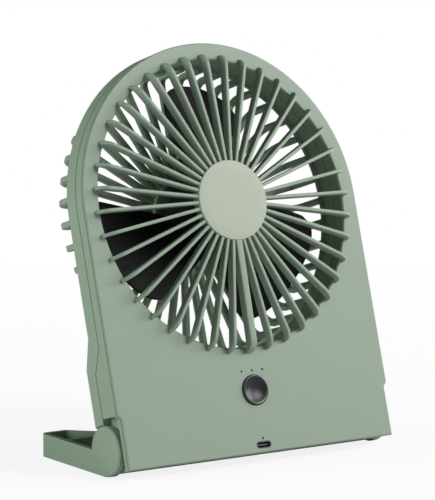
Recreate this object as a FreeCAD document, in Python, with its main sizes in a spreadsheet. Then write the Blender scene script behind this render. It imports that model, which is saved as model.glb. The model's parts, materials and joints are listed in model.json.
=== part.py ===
"""Portable camping fan: a leaning panel with a grilled fan, hinged to a folding foot.

Millimetres. Z is up, Y runs to the back, X to the viewer's right. The origin is the
middle of the part's footprint on the ground.

Panel pieces are drawn in the panel's own frame: X across, Y up the panel, Z out of its
front, with the origin on the hinge axis, which lies in the plane of the panel's rear face.
Fan pieces use the same directions about the fan's axis. Foot pieces are drawn level, with
Y to the back, Z up and the same origin on the hinge axis.
"""
import FreeCAD, Part
import math
import operator
import os
import Sketcher

DRIVING_SIZES = (
    ("body_width", 170.0, "panel, side to side, and the diameter of its arch"),
    ("panel_depth", 17.0, "panel, front face to rear face"),
    ("panel_lean", 17.04, "degrees that the panel leans back from upright"),
    ("hinge_offset", 0.0, "hinge axis behind the origin, set from the outer box"),
    ("knuckle_radius", 13.0, "foot's round knuckles, and the hinge axis above the ground"),
    ("panel_drop", 12.0, "panel's underside below the hinge axis"),
    ("bay_round", 3.0, "rounding of the bay's lower rear edge"),
    ("shell_wall", 1.85, "side and rear walls of both shells"),
    ("front_wall", 1.85, "front wall of the front shell"),
    ("front_bevel", 0.5, "bevel of the face's outer edge"),
    ("rear_bevel", 0.9, "bevel of the rear shell's upper edge"),
    ("groove_depth", 0.6, "shadow groove behind the front edge"),
    ("groove_setback", 1.0, "shadow groove behind the front face"),
    ("groove_width", 0.5, "width of the shadow groove"),
    ("seam_high", 7.5, "shell seam behind the front face, beside the fan"),
    ("seam_low", 14.3, "shell seam behind the front face, beside the battery"),
    ("seam_bend_high", 51.0, "upper end of the seam's slope above the hinge axis"),
    ("seam_bend_low", 39.0, "lower end of the seam's slope above the hinge axis"),
    ("waist_inset", 4.5, "body between the foot's knuckles, in from the panel's side"),
    ("waist_height", 16.0, "shelf over the knuckles, above the hinge axis"),
    ("knuckle_room", 0.3, "round gap between a knuckle and the rear shell"),
    ("lip_inset", 2.0, "front lip at the knuckles, inside the panel's side"),
    ("lip_depth", 3.8, "front lip at the knuckles, front to back"),
    ("bay_rise", 4.6, "battery bay's flat back, above the roof inside it"),
    ("ramp_rise", 13.0, "bay's ramp, from its flat back up to the panel's rear face"),
    ("fan_room", 3.5, "roof inside the battery bay to the fan's duct"),
    ("rim_width", 9.0, "panel's side to the fan opening"),
    ("duct_wall", 1.6, "wall of the duct round the fan opening"),
    ("opening_bevel", 0.7, "bevel of the opening's front edge"),
    ("rib_count", 40.0, "ribs of each grille"),
    ("front_rib_width", 1.7, "front rib, side to side"),
    ("lead_rib_width", 3.8, "lowest front rib, which hides the motor leads"),
    ("front_rib_beyond", 2.8, "front ribs' feet beyond the fan opening"),
    ("front_rib_bend", 6.5, "front ribs' outer bend radius"),
    ("front_rib_inner_bend", 1.2, "bevel of the front ribs' inner bend"),
    ("front_rib_foot", 2.3, "front ribs' feet, measured along the radius"),
    ("front_hub_rise", 8.0, "front ribs' front edge at the hub, before the front face"),
    ("front_hub_back", 3.2, "front hub's rear face before the front face"),
    ("front_hub_radius", 21.3, "front hub"),
    ("disc_radius", 21.0, "centre disc"),
    ("disc_thickness", 2.0, "centre disc"),
    ("disc_front", 8.5, "centre disc's face before the front face"),
    ("disc_chamfer", 0.4, "centre disc's edge"),
    ("rear_rib_width", 2.8, "rear rib, side to side"),
    ("rear_rib_depth", 3.6, "rear rib, outside to inside"),
    ("cage_beyond", 1.4, "rear cage's outside beyond the fan opening"),
    ("cage_depth", 24.5, "rear cage behind the panel's rear face"),
    ("cage_bend", 6.5, "rear ribs' outer bend radius"),
    ("cage_ring_beyond", 3.0, "rear cage's base ring beyond the fan opening"),
    ("cage_ring_within", 1.4, "rear cage's base ring inside the fan opening's edge"),
    ("cage_ring_thickness", 1.8, "rear cage's base ring"),
    ("hoop_back", 13.0, "hoop in the rear cage behind the panel's rear face"),
    ("hoop_width", 2.0, "hoop, front to back"),
    ("hoop_inset", 1.2, "hoop inside the cage's outside"),
    ("rear_hub_radius", 20.0, "rear hub"),
    ("rear_hub_wall", 2.0, "rear hub's plate and rim"),
    ("rear_hub_length", 6.2, "rear hub, front to back"),
    ("shaft_radius", 1.5, "motor shaft"),
    ("shaft_fit", 0.03, "running clearance round the shaft"),
    ("bearing_radius", 4.0, "ball bearings"),
    ("bearing_width", 4.0, "ball bearings"),
    ("tube_wall", 1.2, "bearing tube of the motor base"),
    ("base_radius", 15.0, "motor base plate"),
    ("base_thickness", 2.0, "motor base plate"),
    ("tube_length", 13.0, "bearing tube behind the base plate"),
    ("stator_radius", 12.2, "stator over its teeth"),
    ("stator_height", 7.0, "stator stack"),
    ("stator_teeth", 9.0, "stator teeth"),
    ("tooth_width", 1.8, "stator tooth"),
    ("tooth_shoe", 5.8, "shoe at a stator tooth's tip, side to side"),
    ("coil_thickness", 0.65, "coil's winding beside its tooth"),
    ("air_gap", 0.4, "stator to magnet, and magnet to base"),
    ("magnet_thickness", 1.3, "rotor magnet ring"),
    ("yoke_wall", 1.0, "steel rotor cup"),
    ("yoke_length", 13.5, "steel rotor cup, outside"),
    ("yoke_gap", 1.5, "rotor cup behind the base plate"),
    ("hub_wall", 1.8, "impeller hub"),
    ("hub_length", 29.0, "impeller hub, front to back"),
    ("piece_fit", 0.1, "clearance between pieces that are pressed or glued together"),
    ("blade_room", 10.0, "blades' tips to the fan opening"),
    ("blade_thickness", 1.4, "impeller blade"),
    ("blade_turn", 98.0, "degrees from the right to the line of the first blade's front edge"),
    ("blade_sweep", 53.0, "degrees from the front edge's line to the rear edge's line"),
    ("blade_front_past", 13.0, "front edge's line passes the fan's axis at this distance"),
    ("blade_rear_past", 4.0, "rear edge's line passes the fan's axis at this distance"),
    ("blade_front", 7.0, "blade's front edge before the panel's rear face"),
    ("blade_back", 15.5, "blade's rear edge behind the panel's rear face"),
    ("blade_corner", 0.1, "share of the radius that a blade's corners are drawn in"),
    ("cell_radius", 9.1, "battery cell, a common round size"),
    ("cell_length", 65.0, "battery cell"),
    ("cell_height", 27.5, "battery cells' axis above the hinge axis"),
    ("cell_end_room", 1.15, "cells' outer ends to the waist's walls"),
    ("cell_room", 0.2, "cell to the walls before and behind it"),
    ("cell_seat", 0.15, "cell to its cradles"),
    ("cell_nub_radius", 3.0, "battery cell's contact"),
    ("cell_nub_length", 1.0, "battery cell's contact"),
    ("cradle_width", 2.0, "cradle rib"),
    ("cradle_inset", 9.0, "cradle ribs from the cells' ends"),
    ("bay_roof_room", 0.8, "cells to the roof inside the battery bay"),
    ("board_side_room", 1.5, "control board's sides to the cells' inner ends"),
    ("board_roof_room", 0.2, "control board's upper edge to the bay's roof"),
    ("board_bottom", 9.8, "control board's lower edge below the hinge axis"),
    ("board_thickness", 1.6, "control board"),
    ("board_setback", 8.6, "control board behind the front face"),
    ("post_radius", 2.4, "posts that carry the board and take the shell screws"),
    ("board_post_rise", 34.5, "upper board posts above the hinge axis"),
    ("board_post_drop", 3.2, "lower board posts below the hinge axis"),
    ("board_post_inset", 2.6, "board posts in from the board's sides"),
    ("button_radius", 7.75, "power button"),
    ("button_height", 20.3, "power button above the hinge axis"),
    ("button_proud", 1.0, "power button before the front face"),
    ("button_fit", 0.35, "gap round the power button"),
    ("button_travel", 0.6, "power button's travel"),
    ("button_flange", 1.3, "power button's flange beyond its cap"),
    ("button_flange_thickness", 1.1, "power button's flange"),
    ("dish_depth", 1.5, "power button's hollow, in its middle"),
    ("dish_floor", 3.4, "radius where the hollow's slope eases"),
    ("dish_step", 1.25, "hollow's depth where its slope eases"),
    ("dish_rim", 1.1, "flat rim round the button's hollow"),
    ("stem_radius", 2.2, "power button's stem"),
    ("switch_side", 6.0, "tact switch"),
    ("switch_height", 3.4, "tact switch without its plunger"),
    ("plunger_radius", 1.7, "tact switch plunger"),
    ("plunger_height", 0.7, "tact switch plunger"),
    ("port_height", 8.0, "charging port below the hinge axis"),
    ("port_width", 8.9, "charging socket"),
    ("port_thickness", 3.2, "charging socket"),
    ("port_wall", 0.35, "charging socket's shell"),
    ("port_fit", 0.2, "opening round the charging socket"),
    ("lamp_radius", 0.5, "light pipes"),
    ("lamp_height", 30.6, "level lights above the hinge axis"),
    ("lamp_pitch", 6.5, "between level lights"),
    ("charge_lamp_height", 4.7, "charging light below the hinge axis"),
    ("screw_radius", 1.2, "shell screws"),
    ("screw_head_radius", 1.9, "shell screws' heads"),
    ("screw_head_height", 1.2, "shell screws' heads"),
    ("screw_inset", 3.8, "upper shell screws in from the panel's side"),
    ("screw_step", 90.0, "degrees between the upper shell screws"),
    ("low_screw_across", 52.0, "lower shell screws from the middle"),
    ("low_screw_height", 3.0, "lower shell screws above the hinge axis"),
    ("small_screw_radius", 0.9, "board and motor screws"),
    ("small_head_radius", 1.6, "board and motor screws' heads"),
    ("small_head_height", 0.9, "board and motor screws' heads"),
    ("motor_screw_circle", 11.0, "motor screws from the fan axis"),
    ("knuckle_gap", 0.8, "knuckle to the body's waist"),
    ("knuckle_bevel", 0.8, "bevel of a knuckle's outer edge"),
    ("cap_radius", 8.0, "hinge cap in a knuckle's outer face"),
    ("cap_thickness", 0.8, "hinge cap"),
    ("foot_height", 12.0, "foot's arms and box, top to bottom"),
    ("arm_wall", 3.2, "foot's arms, side to side"),
    ("foot_wall", 2.0, "walls and floor of the foot's hollow box"),
    ("foot_reach", 62.0, "hinge axis to the back of the foot"),
    ("foot_front", 39.0, "hinge axis to the front of the foot's corner boxes"),
    ("foot_bow_room", 10.5, "foot's bow beyond the cage's base ring, for the folded foot"),
    ("foot_bow_width", 6.5, "foot's bow, between its two curves"),
    ("foot_corner", 4.0, "foot's rear outer corners"),
    ("foot_horn", 5.0, "foot's rear inner corners"),
    ("pad_recess", 0.8, "recess that holds a rubber pad"),
    ("pad_radius", 3.0, "round pads under the corner boxes"),
    ("pad_length", 14.0, "long pads under the arms"),
    ("pad_width", 1.8, "long pads under the arms"),
    ("pad_start", 4.0, "long pads behind the hinge axis"),
    ("pin_radius", 1.5, "hinge pins"),
    ("pin_fit", 0.05, "running clearance round a hinge pin"),
    ("pin_hold", 2.2, "length of a hinge pin in its knuckle"),
    ("pin_boss_radius", 2.6, "hinge boss in the rear shell"),
    ("pin_boss_length", 7.0, "hinge boss in the rear shell, inside the wall"),
    ("nut_width", 5.5, "hinge nut across its flats"),
    ("nut_height", 3.0, "hinge nut"),
    ("pin_tail", 1.0, "hinge pin beyond its nut"),
    ("washer_thickness", 0.5, "hinge washers"),
    ("washer_radius", 6.0, "friction washer by the knuckle"),
)

OPERATIONS = {
    "+": operator.add,
    "-": operator.sub,
    "*": operator.mul,
    "/": operator.truediv,
}

FULL_TURN = 360.0
RIGHT_ANGLE = 90.0
NEAR = 0.01
LEVEL_LAMPS = (-1, 0, 1)
SIDES = (-1, 1)
BLADES = 3
BLADE_SECTIONS = 8
UPPER_SCREWS = 3
MOTOR_SCREWS = 3
NUT_SIDES = 6
SHAPE_NAMES = []

doc = FreeCAD.newDocument("camping_fan")
sheet = doc.addObject("Spreadsheet::Sheet", "sizes")


class Formula:
    """A number together with the sheet expression that it comes from."""

    def __init__(self, value, text):
        self.value = value
        self.text = text

    def __add__(self, other):
        return combine(self, "+", other)

    def __radd__(self, other):
        return combine(other, "+", self)

    def __sub__(self, other):
        return combine(self, "-", other)

    def __rsub__(self, other):
        return combine(other, "-", self)

    def __mul__(self, other):
        return combine(self, "*", other)

    def __rmul__(self, other):
        return combine(other, "*", self)

    def __truediv__(self, other):
        return combine(self, "/", other)

    def __rtruediv__(self, other):
        return combine(other, "/", self)

    def __neg__(self):
        return combine(0.0, "-", self)


def formula(source):
    """A plain number becomes a formula too."""
    if isinstance(source, Formula):
        return source
    return Formula(float(source), "(%r)" % float(source))


def combine(left, sign, right):
    left = formula(left)
    right = formula(right)
    value = OPERATIONS[sign](left.value, right.value)
    return Formula(value, "(%s %s %s)" % (left.text, sign, right.text))


def root(source):
    return Formula(math.sqrt(source.value), "sqrt(%s)" % source.text)


def sine(angle):
    angle = formula(angle)
    return Formula(math.sin(math.radians(angle.value)), "sin(%s * 1 deg)" % angle.text)


def cosine(angle):
    angle = formula(angle)
    return Formula(math.cos(math.radians(angle.value)), "cos(%s * 1 deg)" % angle.text)


def fill_sheet():
    for row, (alias, value, note) in enumerate(DRIVING_SIZES, start=1):
        sheet.set("A%d" % row, alias)
        sheet.set("B%d" % row, str(value))
        sheet.set("C%d" % row, note)
        sheet.setAlias("B%d" % row, alias)
    doc.recompute()


def size(alias):
    return Formula(float(getattr(sheet, alias)), "<<sizes>>.%s" % alias)


def bind(thing, path, source):
    """Set a property from the sheet and keep it tied to it."""
    thing.setExpression(path, formula(source).text)


def across_circle(radius, offset):
    """Half chord of a circle at an offset from its centre."""
    return root(radius * radius - offset * offset)


fill_sheet()
HALF = size("body_width") / 2
WALL = size("shell_wall")
WAIST = HALF - size("waist_inset")
KNUCKLE_INSIDE = WAIST + size("knuckle_gap")
SHELF = size("waist_height")
BOTTOM = -size("panel_drop")
FRONT = size("panel_depth")
FRONT_INSIDE = FRONT - size("front_wall")
SEAM_HIGH = FRONT - size("seam_high")
SEAM_LOW = FRONT - size("seam_low")
BAY_BACK = FRONT_INSIDE - (size("cell_radius") + size("cell_room")) * 2
BACK = BAY_BACK - WALL
CELL_AXIS = BAY_BACK + size("cell_radius") + size("cell_room")
CELL_START = WAIST - WALL - size("cell_end_room") - size("cell_length")
BOARD_HALF = CELL_START - size("board_side_room")
BAY_ROOF = size("cell_height") + size("cell_radius") + size("bay_roof_room")
BAY_TOP = BAY_ROOF + size("bay_rise")
OPENING = HALF - size("rim_width")
DUCT = OPENING + size("duct_wall")
CAGE = OPENING + size("cage_beyond")
CAGE_RING = OPENING + size("cage_ring_beyond")
FAN = BAY_ROOF + size("fan_room") + DUCT


def new_body(name):
    body = doc.addObject("PartDesign::Body", name)
    body.Label = name
    SHAPE_NAMES.append(name)
    return body


def lean(thing, up_panel=0.0):
    """Stand a piece in the panel's frame, at a height up the panel."""
    turned = FreeCAD.Rotation(FreeCAD.Vector(1, 0, 0), RIGHT_ANGLE - size("panel_lean").value)
    thing.Placement = FreeCAD.Placement(FreeCAD.Vector(), turned)
    up_panel = formula(up_panel)
    bind(thing, "Placement.Base.y", size("hinge_offset") + up_panel * sine(size("panel_lean")))
    bind(thing, "Placement.Base.z", size("knuckle_radius") + up_panel * cosine(size("panel_lean")))
    bind(thing, "Placement.Rotation.Angle", RIGHT_ANGLE - size("panel_lean"))


def stand(thing):
    """Stand a piece level on the hinge axis."""
    bind(thing, "Placement.Base.y", size("hinge_offset"))
    bind(thing, "Placement.Base.z", size("knuckle_radius"))


def origin_part(body, role):
    for feature in body.Origin.OriginFeatures:
        if feature.Role == role:
            return feature
    raise ValueError(role)


def sketch_on(body, role, name, offset=0.0, turn=None):
    """A sketch on one of the body's own planes, moved along the plane's normal."""
    sketch = body.newObject("Sketcher::SketchObject", body.Name + "_" + name)
    sketch.AttachmentSupport = [(origin_part(body, role), "")]
    sketch.MapMode = "FlatFace"
    if turn is not None:
        turned = FreeCAD.Rotation(FreeCAD.Vector(0, 1, 0), turn.value)
        sketch.AttachmentOffset = FreeCAD.Placement(FreeCAD.Vector(), turned)
        bind(sketch, "AttachmentOffset.Rotation.Angle", turn)
    bind(sketch, "AttachmentOffset.Base.z", offset)
    return sketch


def face_sketch(body, name, offset=0.0):
    """X across and Y up the panel, seen from the front."""
    return sketch_on(body, "XY_Plane", name, offset)


def side_sketch(body, name, offset=0.0):
    """Y across and Z up, seen from the right."""
    return sketch_on(body, "YZ_Plane", name, offset)


def section_sketch(body, name):
    """Radius across and the fan's axis up."""
    return sketch_on(body, "XZ_Plane", name)


def blade_sketch(body, name, turn, past):
    """A section across a blade, on a plane that passes the fan's axis at a distance."""
    sketch = sketch_on(body, "XZ_Plane", name, -(past * cosine(turn)), turn)
    bind(sketch, "AttachmentOffset.Base.x", -(past * sine(turn)))
    return sketch


def tie(sketch, kind, items, target):
    target = formula(target)
    index = sketch.addConstraint(Sketcher.Constraint(kind, *items, target.value))
    sketch.setExpression("Constraints[%d]" % index, target.text)


def fix_point(sketch, geometry, end, across, up):
    for kind, axis, target in (("DistanceX", -2, across), ("DistanceY", -1, up)):
        if not isinstance(target, Formula) and target == 0:
            sketch.addConstraint(Sketcher.Constraint("PointOnObject", geometry, end, axis))
        else:
            tie(sketch, kind, (-1, 1, geometry, end), target)


def flat_vector(point):
    return FreeCAD.Vector(formula(point[0]).value, formula(point[1]).value, 0)


def circle(sketch, across, up, radius):
    centre = flat_vector((across, up))
    shape = Part.Circle(centre, FreeCAD.Vector(0, 0, 1), radius.value)
    index = sketch.addGeometry(shape, False)
    tie(sketch, "Radius", (index,), radius)
    fix_point(sketch, index, 3, across, up)


def arc_through(start, end, centre, clockwise):
    """The arc from start to end; its own ends swap places when it runs clockwise."""
    if clockwise:
        start, end = end, start
    middle = flat_vector(centre)
    first = flat_vector(start) - middle
    last = flat_vector(end) - middle
    ring = Part.Circle(middle, FreeCAD.Vector(0, 0, 1), first.Length)
    return Part.ArcOfCircle(ring, math.atan2(first.y, first.x), math.atan2(last.y, last.x))


def fix_arc(sketch, index, start, end, centre):
    """The ends are fixed already, so one coordinate of the centre is enough."""
    chord = flat_vector(end) - flat_vector(start)
    if abs(chord.x) >= abs(chord.y):
        kind, axis, target = "DistanceY", -1, centre[1]
    else:
        kind, axis, target = "DistanceX", -2, centre[0]
    if not isinstance(target, Formula) and target == 0:
        sketch.addConstraint(Sketcher.Constraint("PointOnObject", index, 3, axis))
    else:
        tie(sketch, kind, (-1, 1, index, 3), target)


def outline(sketch, points, arcs=None):
    """Close a chain of lines and arcs.

    arcs maps a point's index to the centre and sense of the arc that leaves it.
    """
    arcs = arcs or {}
    ends = []
    for number, start in enumerate(points):
        end = points[(number + 1) % len(points)]
        if number in arcs:
            centre, clockwise = arcs[number]
            index = sketch.addGeometry(arc_through(start, end, centre, clockwise), False)
            ends.append((index, 2, 1) if clockwise else (index, 1, 2))
        else:
            line = Part.LineSegment(flat_vector(start), flat_vector(end))
            ends.append((sketch.addGeometry(line, False), 1, 2))
    for number, start in enumerate(points):
        index, first, last = ends[number]
        before = ends[number - 1]
        sketch.addConstraint(Sketcher.Constraint("Coincident", before[0], before[2], index, first))
        fix_point(sketch, index, first, *start)
    for number, (centre, _) in arcs.items():
        end = points[(number + 1) % len(points)]
        fix_arc(sketch, ends[number][0], points[number], end, centre)


def rectangle(sketch, left, right, low, high):
    outline(sketch, [(left, low), (right, low), (right, high), (left, high)])


def arch(sketch, half, steps):
    """A round-headed outline; steps are its right side's corners, from the bottom up."""
    right = list(steps) + [(half, FAN)]
    left = [(-across, up) for across, up in reversed(right)]
    outline(sketch, right + left, {len(right) - 1: ((0, FAN), False)})


def sweep(body, kind, sketch, length=None, back=False, both=False):
    """A pad or a pocket; without a length it goes through all."""
    feature = body.newObject("PartDesign::" + kind, sketch.Name + "_" + kind.lower())
    feature.Profile = sketch
    feature.Reversed = back
    if both:
        feature.Midplane = True
    if length is None:
        feature.Type = "ThroughAll"
    else:
        bind(feature, "Length", length)
    body.Tip = feature
    return feature


def pad(body, sketch, length, back=False, both=False):
    return sweep(body, "Pad", sketch, length, back, both)


def pocket(body, sketch, length=None, back=False, both=False):
    """Cuts against the sketch's normal, or along it with back."""
    doc.recompute()
    before = body.Tip.Shape.Volume
    feature = sweep(body, "Pocket", sketch, length, back, both)
    doc.recompute()
    if not feature.Shape.Volume < before:
        raise ValueError(feature.Name + " cuts nothing")
    return feature


def turned(body, kind, sketch, axis="Z_Axis"):
    """A revolution or groove about one of the body's own axes."""
    feature = body.newObject("PartDesign::" + kind, sketch.Name + "_" + kind.lower())
    feature.Profile = sketch
    feature.ReferenceAxis = (origin_part(body, axis), [""])
    feature.Angle = FULL_TURN
    body.Tip = feature
    return feature


def polar(body, original, count, name):
    feature = body.newObject("PartDesign::PolarPattern", body.Name + "_" + name)
    feature.Originals = [original]
    feature.Axis = (origin_part(body, "Z_Axis"), [""])
    feature.Angle = FULL_TURN
    bind(feature, "Occurrences", count)
    body.Tip = feature
    return feature


def round_edges(body, name, radius, chosen, kind="Fillet"):
    """Round or chamfer each edge of the body that the test picks."""
    doc.recompute()
    base = body.Tip
    names = [
        "Edge%d" % number
        for number, edge in enumerate(base.Shape.Edges, start=1)
        if chosen(edge)
    ]
    if not names:
        raise ValueError(name + " finds no edge")
    feature = body.newObject("PartDesign::" + kind, body.Name + "_" + name)
    feature.Base = (base, names)
    bind(feature, "Radius" if kind == "Fillet" else "Size", radius)
    body.Tip = feature
    return feature


def lies_at(edge, axis, value, near=1e-4):
    """Every sampled point of the edge has this coordinate."""
    target = formula(value).value
    ends = [edge.valueAt(edge.FirstParameter), edge.valueAt(edge.LastParameter)]
    ends.append(edge.valueAt((edge.FirstParameter + edge.LastParameter) / 2))
    return all(abs(getattr(point, axis) - target) < near for point in ends)


def from_fan_axis(edge):
    """The middle of an edge from the fan's axis, in the panel's frame."""
    middle = edge.valueAt((edge.FirstParameter + edge.LastParameter) / 2)
    return math.hypot(middle.x, middle.y - FAN.value)


def upper_screw_places():
    """Places of the upper shell screws round the arch."""
    start = RIGHT_ANGLE - size("screw_step") * (UPPER_SCREWS - 1) / 2
    radius = HALF - size("screw_inset")
    for number in range(UPPER_SCREWS):
        angle = start + size("screw_step") * number
        yield radius * cosine(angle), FAN + radius * sine(angle)


def low_screw_places():
    for side in SIDES:
        yield side * size("low_screw_across"), size("low_screw_height")


def board_post_places():
    """Places of the four posts under the control board."""
    across = BOARD_HALF - size("board_post_inset")
    for side in SIDES:
        yield side * across, size("board_post_rise")
        yield side * across, -size("board_post_drop")


def circles(sketch, places, radius):
    for across, up in places:
        circle(sketch, across, up, radius)


def body_steps(inset=0.0):
    """Right side of the body behind the lip, moved inwards by a wall."""
    inset = formula(inset)
    return [
        (WAIST - inset, BOTTOM + inset),
        (WAIST - inset, SHELF + inset),
        (HALF - inset, SHELF + inset),
    ]


def lip_steps(inset=0.0):
    """Right side of the front lip, which is chamfered up to the panel's side."""
    inset = formula(inset)
    lip = HALF - size("lip_inset")
    return [
        (lip - inset, BOTTOM + inset),
        (lip - inset, SHELF - size("lip_inset")),
        (HALF - inset, SHELF),
    ]


def port_outline(sketch, across, up, width, thickness):
    """A flat slot with round ends."""
    end = thickness / 2
    flat = (width - thickness) / 2
    points = [
        (across - flat, up - end),
        (across + flat, up - end),
        (across + flat, up + end),
        (across - flat, up + end),
    ]
    arcs = {1: ((across + flat, up), False), 3: ((across - flat, up), False)}
    outline(sketch, points, arcs)


def seam_corners():
    """The two bends of the shell seam, seen from the side."""
    return (size("seam_bend_high"), SEAM_HIGH), (size("seam_bend_low"), SEAM_LOW)


def make_front_housing():
    """Front shell: face, side walls to the seam, duct, posts and openings."""
    body = new_body("front_housing")
    lean(body)
    lip = face_sketch(body, "lip", FRONT)
    arch(lip, HALF, lip_steps())
    pad(body, lip, size("lip_depth"), back=True)
    side = face_sketch(body, "side", FRONT - size("lip_depth"))
    arch(side, HALF, body_steps())
    pad(body, side, size("seam_low") - size("lip_depth"), back=True)
    high, low = seam_corners()
    beyond = FAN + HALF + WALL
    seam = side_sketch(body, "seam")
    outline(seam, [high, low, (low[0], 0), (beyond, 0), (beyond, SEAM_HIGH)])
    pocket(body, seam, both=True)
    cavity = face_sketch(body, "cavity", FRONT_INSIDE)
    arch(cavity, HALF - WALL, body_steps(WALL))
    circle(cavity, 0, FAN, DUCT)
    pocket(body, cavity)
    opening = face_sketch(body, "opening", FRONT)
    circle(opening, 0, FAN, OPENING)
    pocket(body, opening)
    round_edges(
        body, "opening_bevel", size("opening_bevel"),
        lambda edge: lies_at(edge, "z", FRONT)
        and abs(from_fan_axis(edge) - OPENING.value) < NEAR,
        "Chamfer",
    )
    front_openings(body)
    front_posts(body)
    groove = face_sketch(body, "groove", FRONT - size("groove_setback"))
    arch(groove, HALF, lip_steps())
    arch(groove, HALF - size("groove_depth"), lip_steps(size("groove_depth")))
    pocket(body, groove, size("groove_width"))
    round_edges(body, "front_bevel", size("front_bevel"), front_outline_edge, "Chamfer")


def front_outline_edge(edge):
    """The face's outer edge, without the openings cut in it."""
    if not lies_at(edge, "z", FRONT):
        return False
    middle = edge.valueAt((edge.FirstParameter + edge.LastParameter) / 2)
    rim = HALF.value - size("lip_inset").value
    at_side = abs(middle.x) > rim - NEAR
    at_bottom = abs(middle.y - BOTTOM.value) < NEAR
    on_arch = middle.y > FAN.value and from_fan_axis(edge) > rim
    return at_side or at_bottom or on_arch


def front_openings(body):
    """Holes for the button, the lights and the charging port."""
    holes = face_sketch(body, "holes", FRONT)
    circle(holes, 0, size("button_height"), size("button_radius") + size("button_fit"))
    for step in LEVEL_LAMPS:
        across = step * size("lamp_pitch") if step else 0
        circle(holes, across, size("lamp_height"), size("lamp_radius") + size("piece_fit"))
    circle(holes, 0, -size("charge_lamp_height"), size("lamp_radius") + size("piece_fit"))
    pocket(body, holes, size("front_wall") * 2)
    port = face_sketch(body, "port", FRONT)
    room = size("port_fit") * 2
    port_outline(
        port, 0, -size("port_height"), size("port_width") + room,
        size("port_thickness") + room,
    )
    pocket(body, port, size("front_wall") * 2)


def front_posts(body):
    """Screw posts round the arch and by the battery, and the board's four posts."""
    sunk = size("front_wall") / 2
    high = face_sketch(body, "high_posts", FRONT - sunk)
    circles(high, upper_screw_places(), size("post_radius"))
    pad(body, high, size("seam_high") - sunk, back=True)
    posts = face_sketch(body, "low_posts", FRONT - sunk)
    circles(posts, low_screw_places(), size("post_radius"))
    pad(body, posts, size("seam_low") - sunk, back=True)
    board = face_sketch(body, "board_posts", FRONT - sunk)
    circles(board, board_post_places(), size("post_radius"))
    pad(body, board, size("board_setback") - sunk, back=True)
    bores = face_sketch(body, "board_bores", FRONT - size("board_setback"))
    circles(bores, board_post_places(), size("small_screw_radius") + size("shaft_fit"))
    pocket(body, bores, size("board_setback") - size("front_wall"), back=True)
    bores = face_sketch(body, "high_bores", SEAM_HIGH)
    circles(bores, upper_screw_places(), size("screw_radius") + size("shaft_fit"))
    pocket(body, bores, size("seam_high") - size("front_wall"), back=True)
    bores = face_sketch(body, "low_bores", SEAM_LOW)
    circles(bores, low_screw_places(), size("screw_radius") + size("shaft_fit"))
    pocket(body, bores, size("seam_low") - size("front_wall"), back=True)


def make_rear_cover():
    """Rear shell: side walls from the seam, rear wall, duct and battery bay."""
    body = new_body("rear_cover")
    lean(body)
    side = face_sketch(body, "side", SEAM_HIGH)
    arch(side, HALF, [(HALF, BOTTOM)])
    pad(body, side, SEAM_HIGH, back=True)
    high, low = seam_corners()
    below = BOTTOM - WALL
    seam = side_sketch(body, "seam")
    outline(seam, [high, (high[0], FRONT), (below, FRONT), (below, SEAM_LOW), low])
    pocket(body, seam, both=True)
    bay = side_sketch(body, "bay")
    bend = size("bay_round")
    points = [
        (BOTTOM, 0), (BOTTOM, BACK + bend), (BOTTOM + bend, BACK),
        (BAY_TOP, BACK), (BAY_TOP + size("ramp_rise"), 0),
    ]
    outline(bay, points, {1: ((BOTTOM + bend, BACK + bend), False)})
    pad(body, bay, HALF * 2, both=True)
    for side_sign, name in zip(SIDES, ("left", "right")):
        room = side_sketch(body, name + "_knuckle_room", side_sign * WAIST)
        knuckle_room(room)
        pocket(body, room, back=side_sign > 0)
    cage_room = face_sketch(body, "cage_room")
    circle(cage_room, 0, FAN, CAGE_RING + size("piece_fit"))
    pocket(body, cage_room, -BACK * 2)
    cavity = face_sketch(body, "cavity", FRONT)
    arch(cavity, HALF - WALL, body_steps(WALL))
    circle(cavity, 0, FAN, DUCT)
    pocket(body, cavity, FRONT - WALL)
    inside = side_sketch(body, "bay_inside")
    low_wall = BOTTOM + WALL
    rectangle(inside, low_wall, BAY_ROOF, BAY_BACK, FRONT)
    pocket(body, inside, (WAIST - WALL) * 2, both=True)
    opening = face_sketch(body, "opening", FRONT)
    circle(opening, 0, FAN, OPENING)
    pocket(body, opening)
    rear_posts(body)
    hinge_bosses(body)
    cell_cradles(body)
    round_edges(
        body, "rear_bevel", size("rear_bevel"),
        lambda edge: lies_at(edge, "z", 0) and abs(from_fan_axis(edge) - HALF.value) < NEAR,
        "Chamfer",
    )


def knuckle_room(sketch):
    """What a knuckle takes from the rear shell's side: a round gap, and all below it."""
    radius = size("knuckle_radius") + size("knuckle_room")
    below = BOTTOM - WALL
    behind = BACK - WALL
    points = [
        (below, SEAM_LOW), (below, behind),
        (across_circle(radius, behind), behind), (across_circle(radius, SEAM_LOW), SEAM_LOW),
    ]
    outline(sketch, points, {2: ((0, 0), False)})


def rear_posts(body):
    """Screw posts with a hole for the shank and a recess for the head."""
    sunk = WALL / 2
    shank = size("screw_radius") + size("piece_fit")
    head = size("screw_head_radius") + size("piece_fit")
    high = face_sketch(body, "high_posts", sunk)
    circles(high, upper_screw_places(), size("post_radius"))
    pad(body, high, SEAM_HIGH - sunk)
    low = face_sketch(body, "low_posts", BAY_BACK - sunk)
    circles(low, low_screw_places(), size("post_radius"))
    pad(body, low, SEAM_LOW - BAY_BACK + sunk)
    for name, places, back in (
        ("high", upper_screw_places, formula(0.0)),
        ("low", low_screw_places, BACK),
    ):
        bores = face_sketch(body, name + "_bores", back)
        circles(bores, places(), shank)
        pocket(body, bores, FRONT * 2, back=True)
        recess = face_sketch(body, name + "_recess", back)
        circles(recess, places(), head)
        pocket(body, recess, size("screw_head_height"), back=True)


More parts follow.
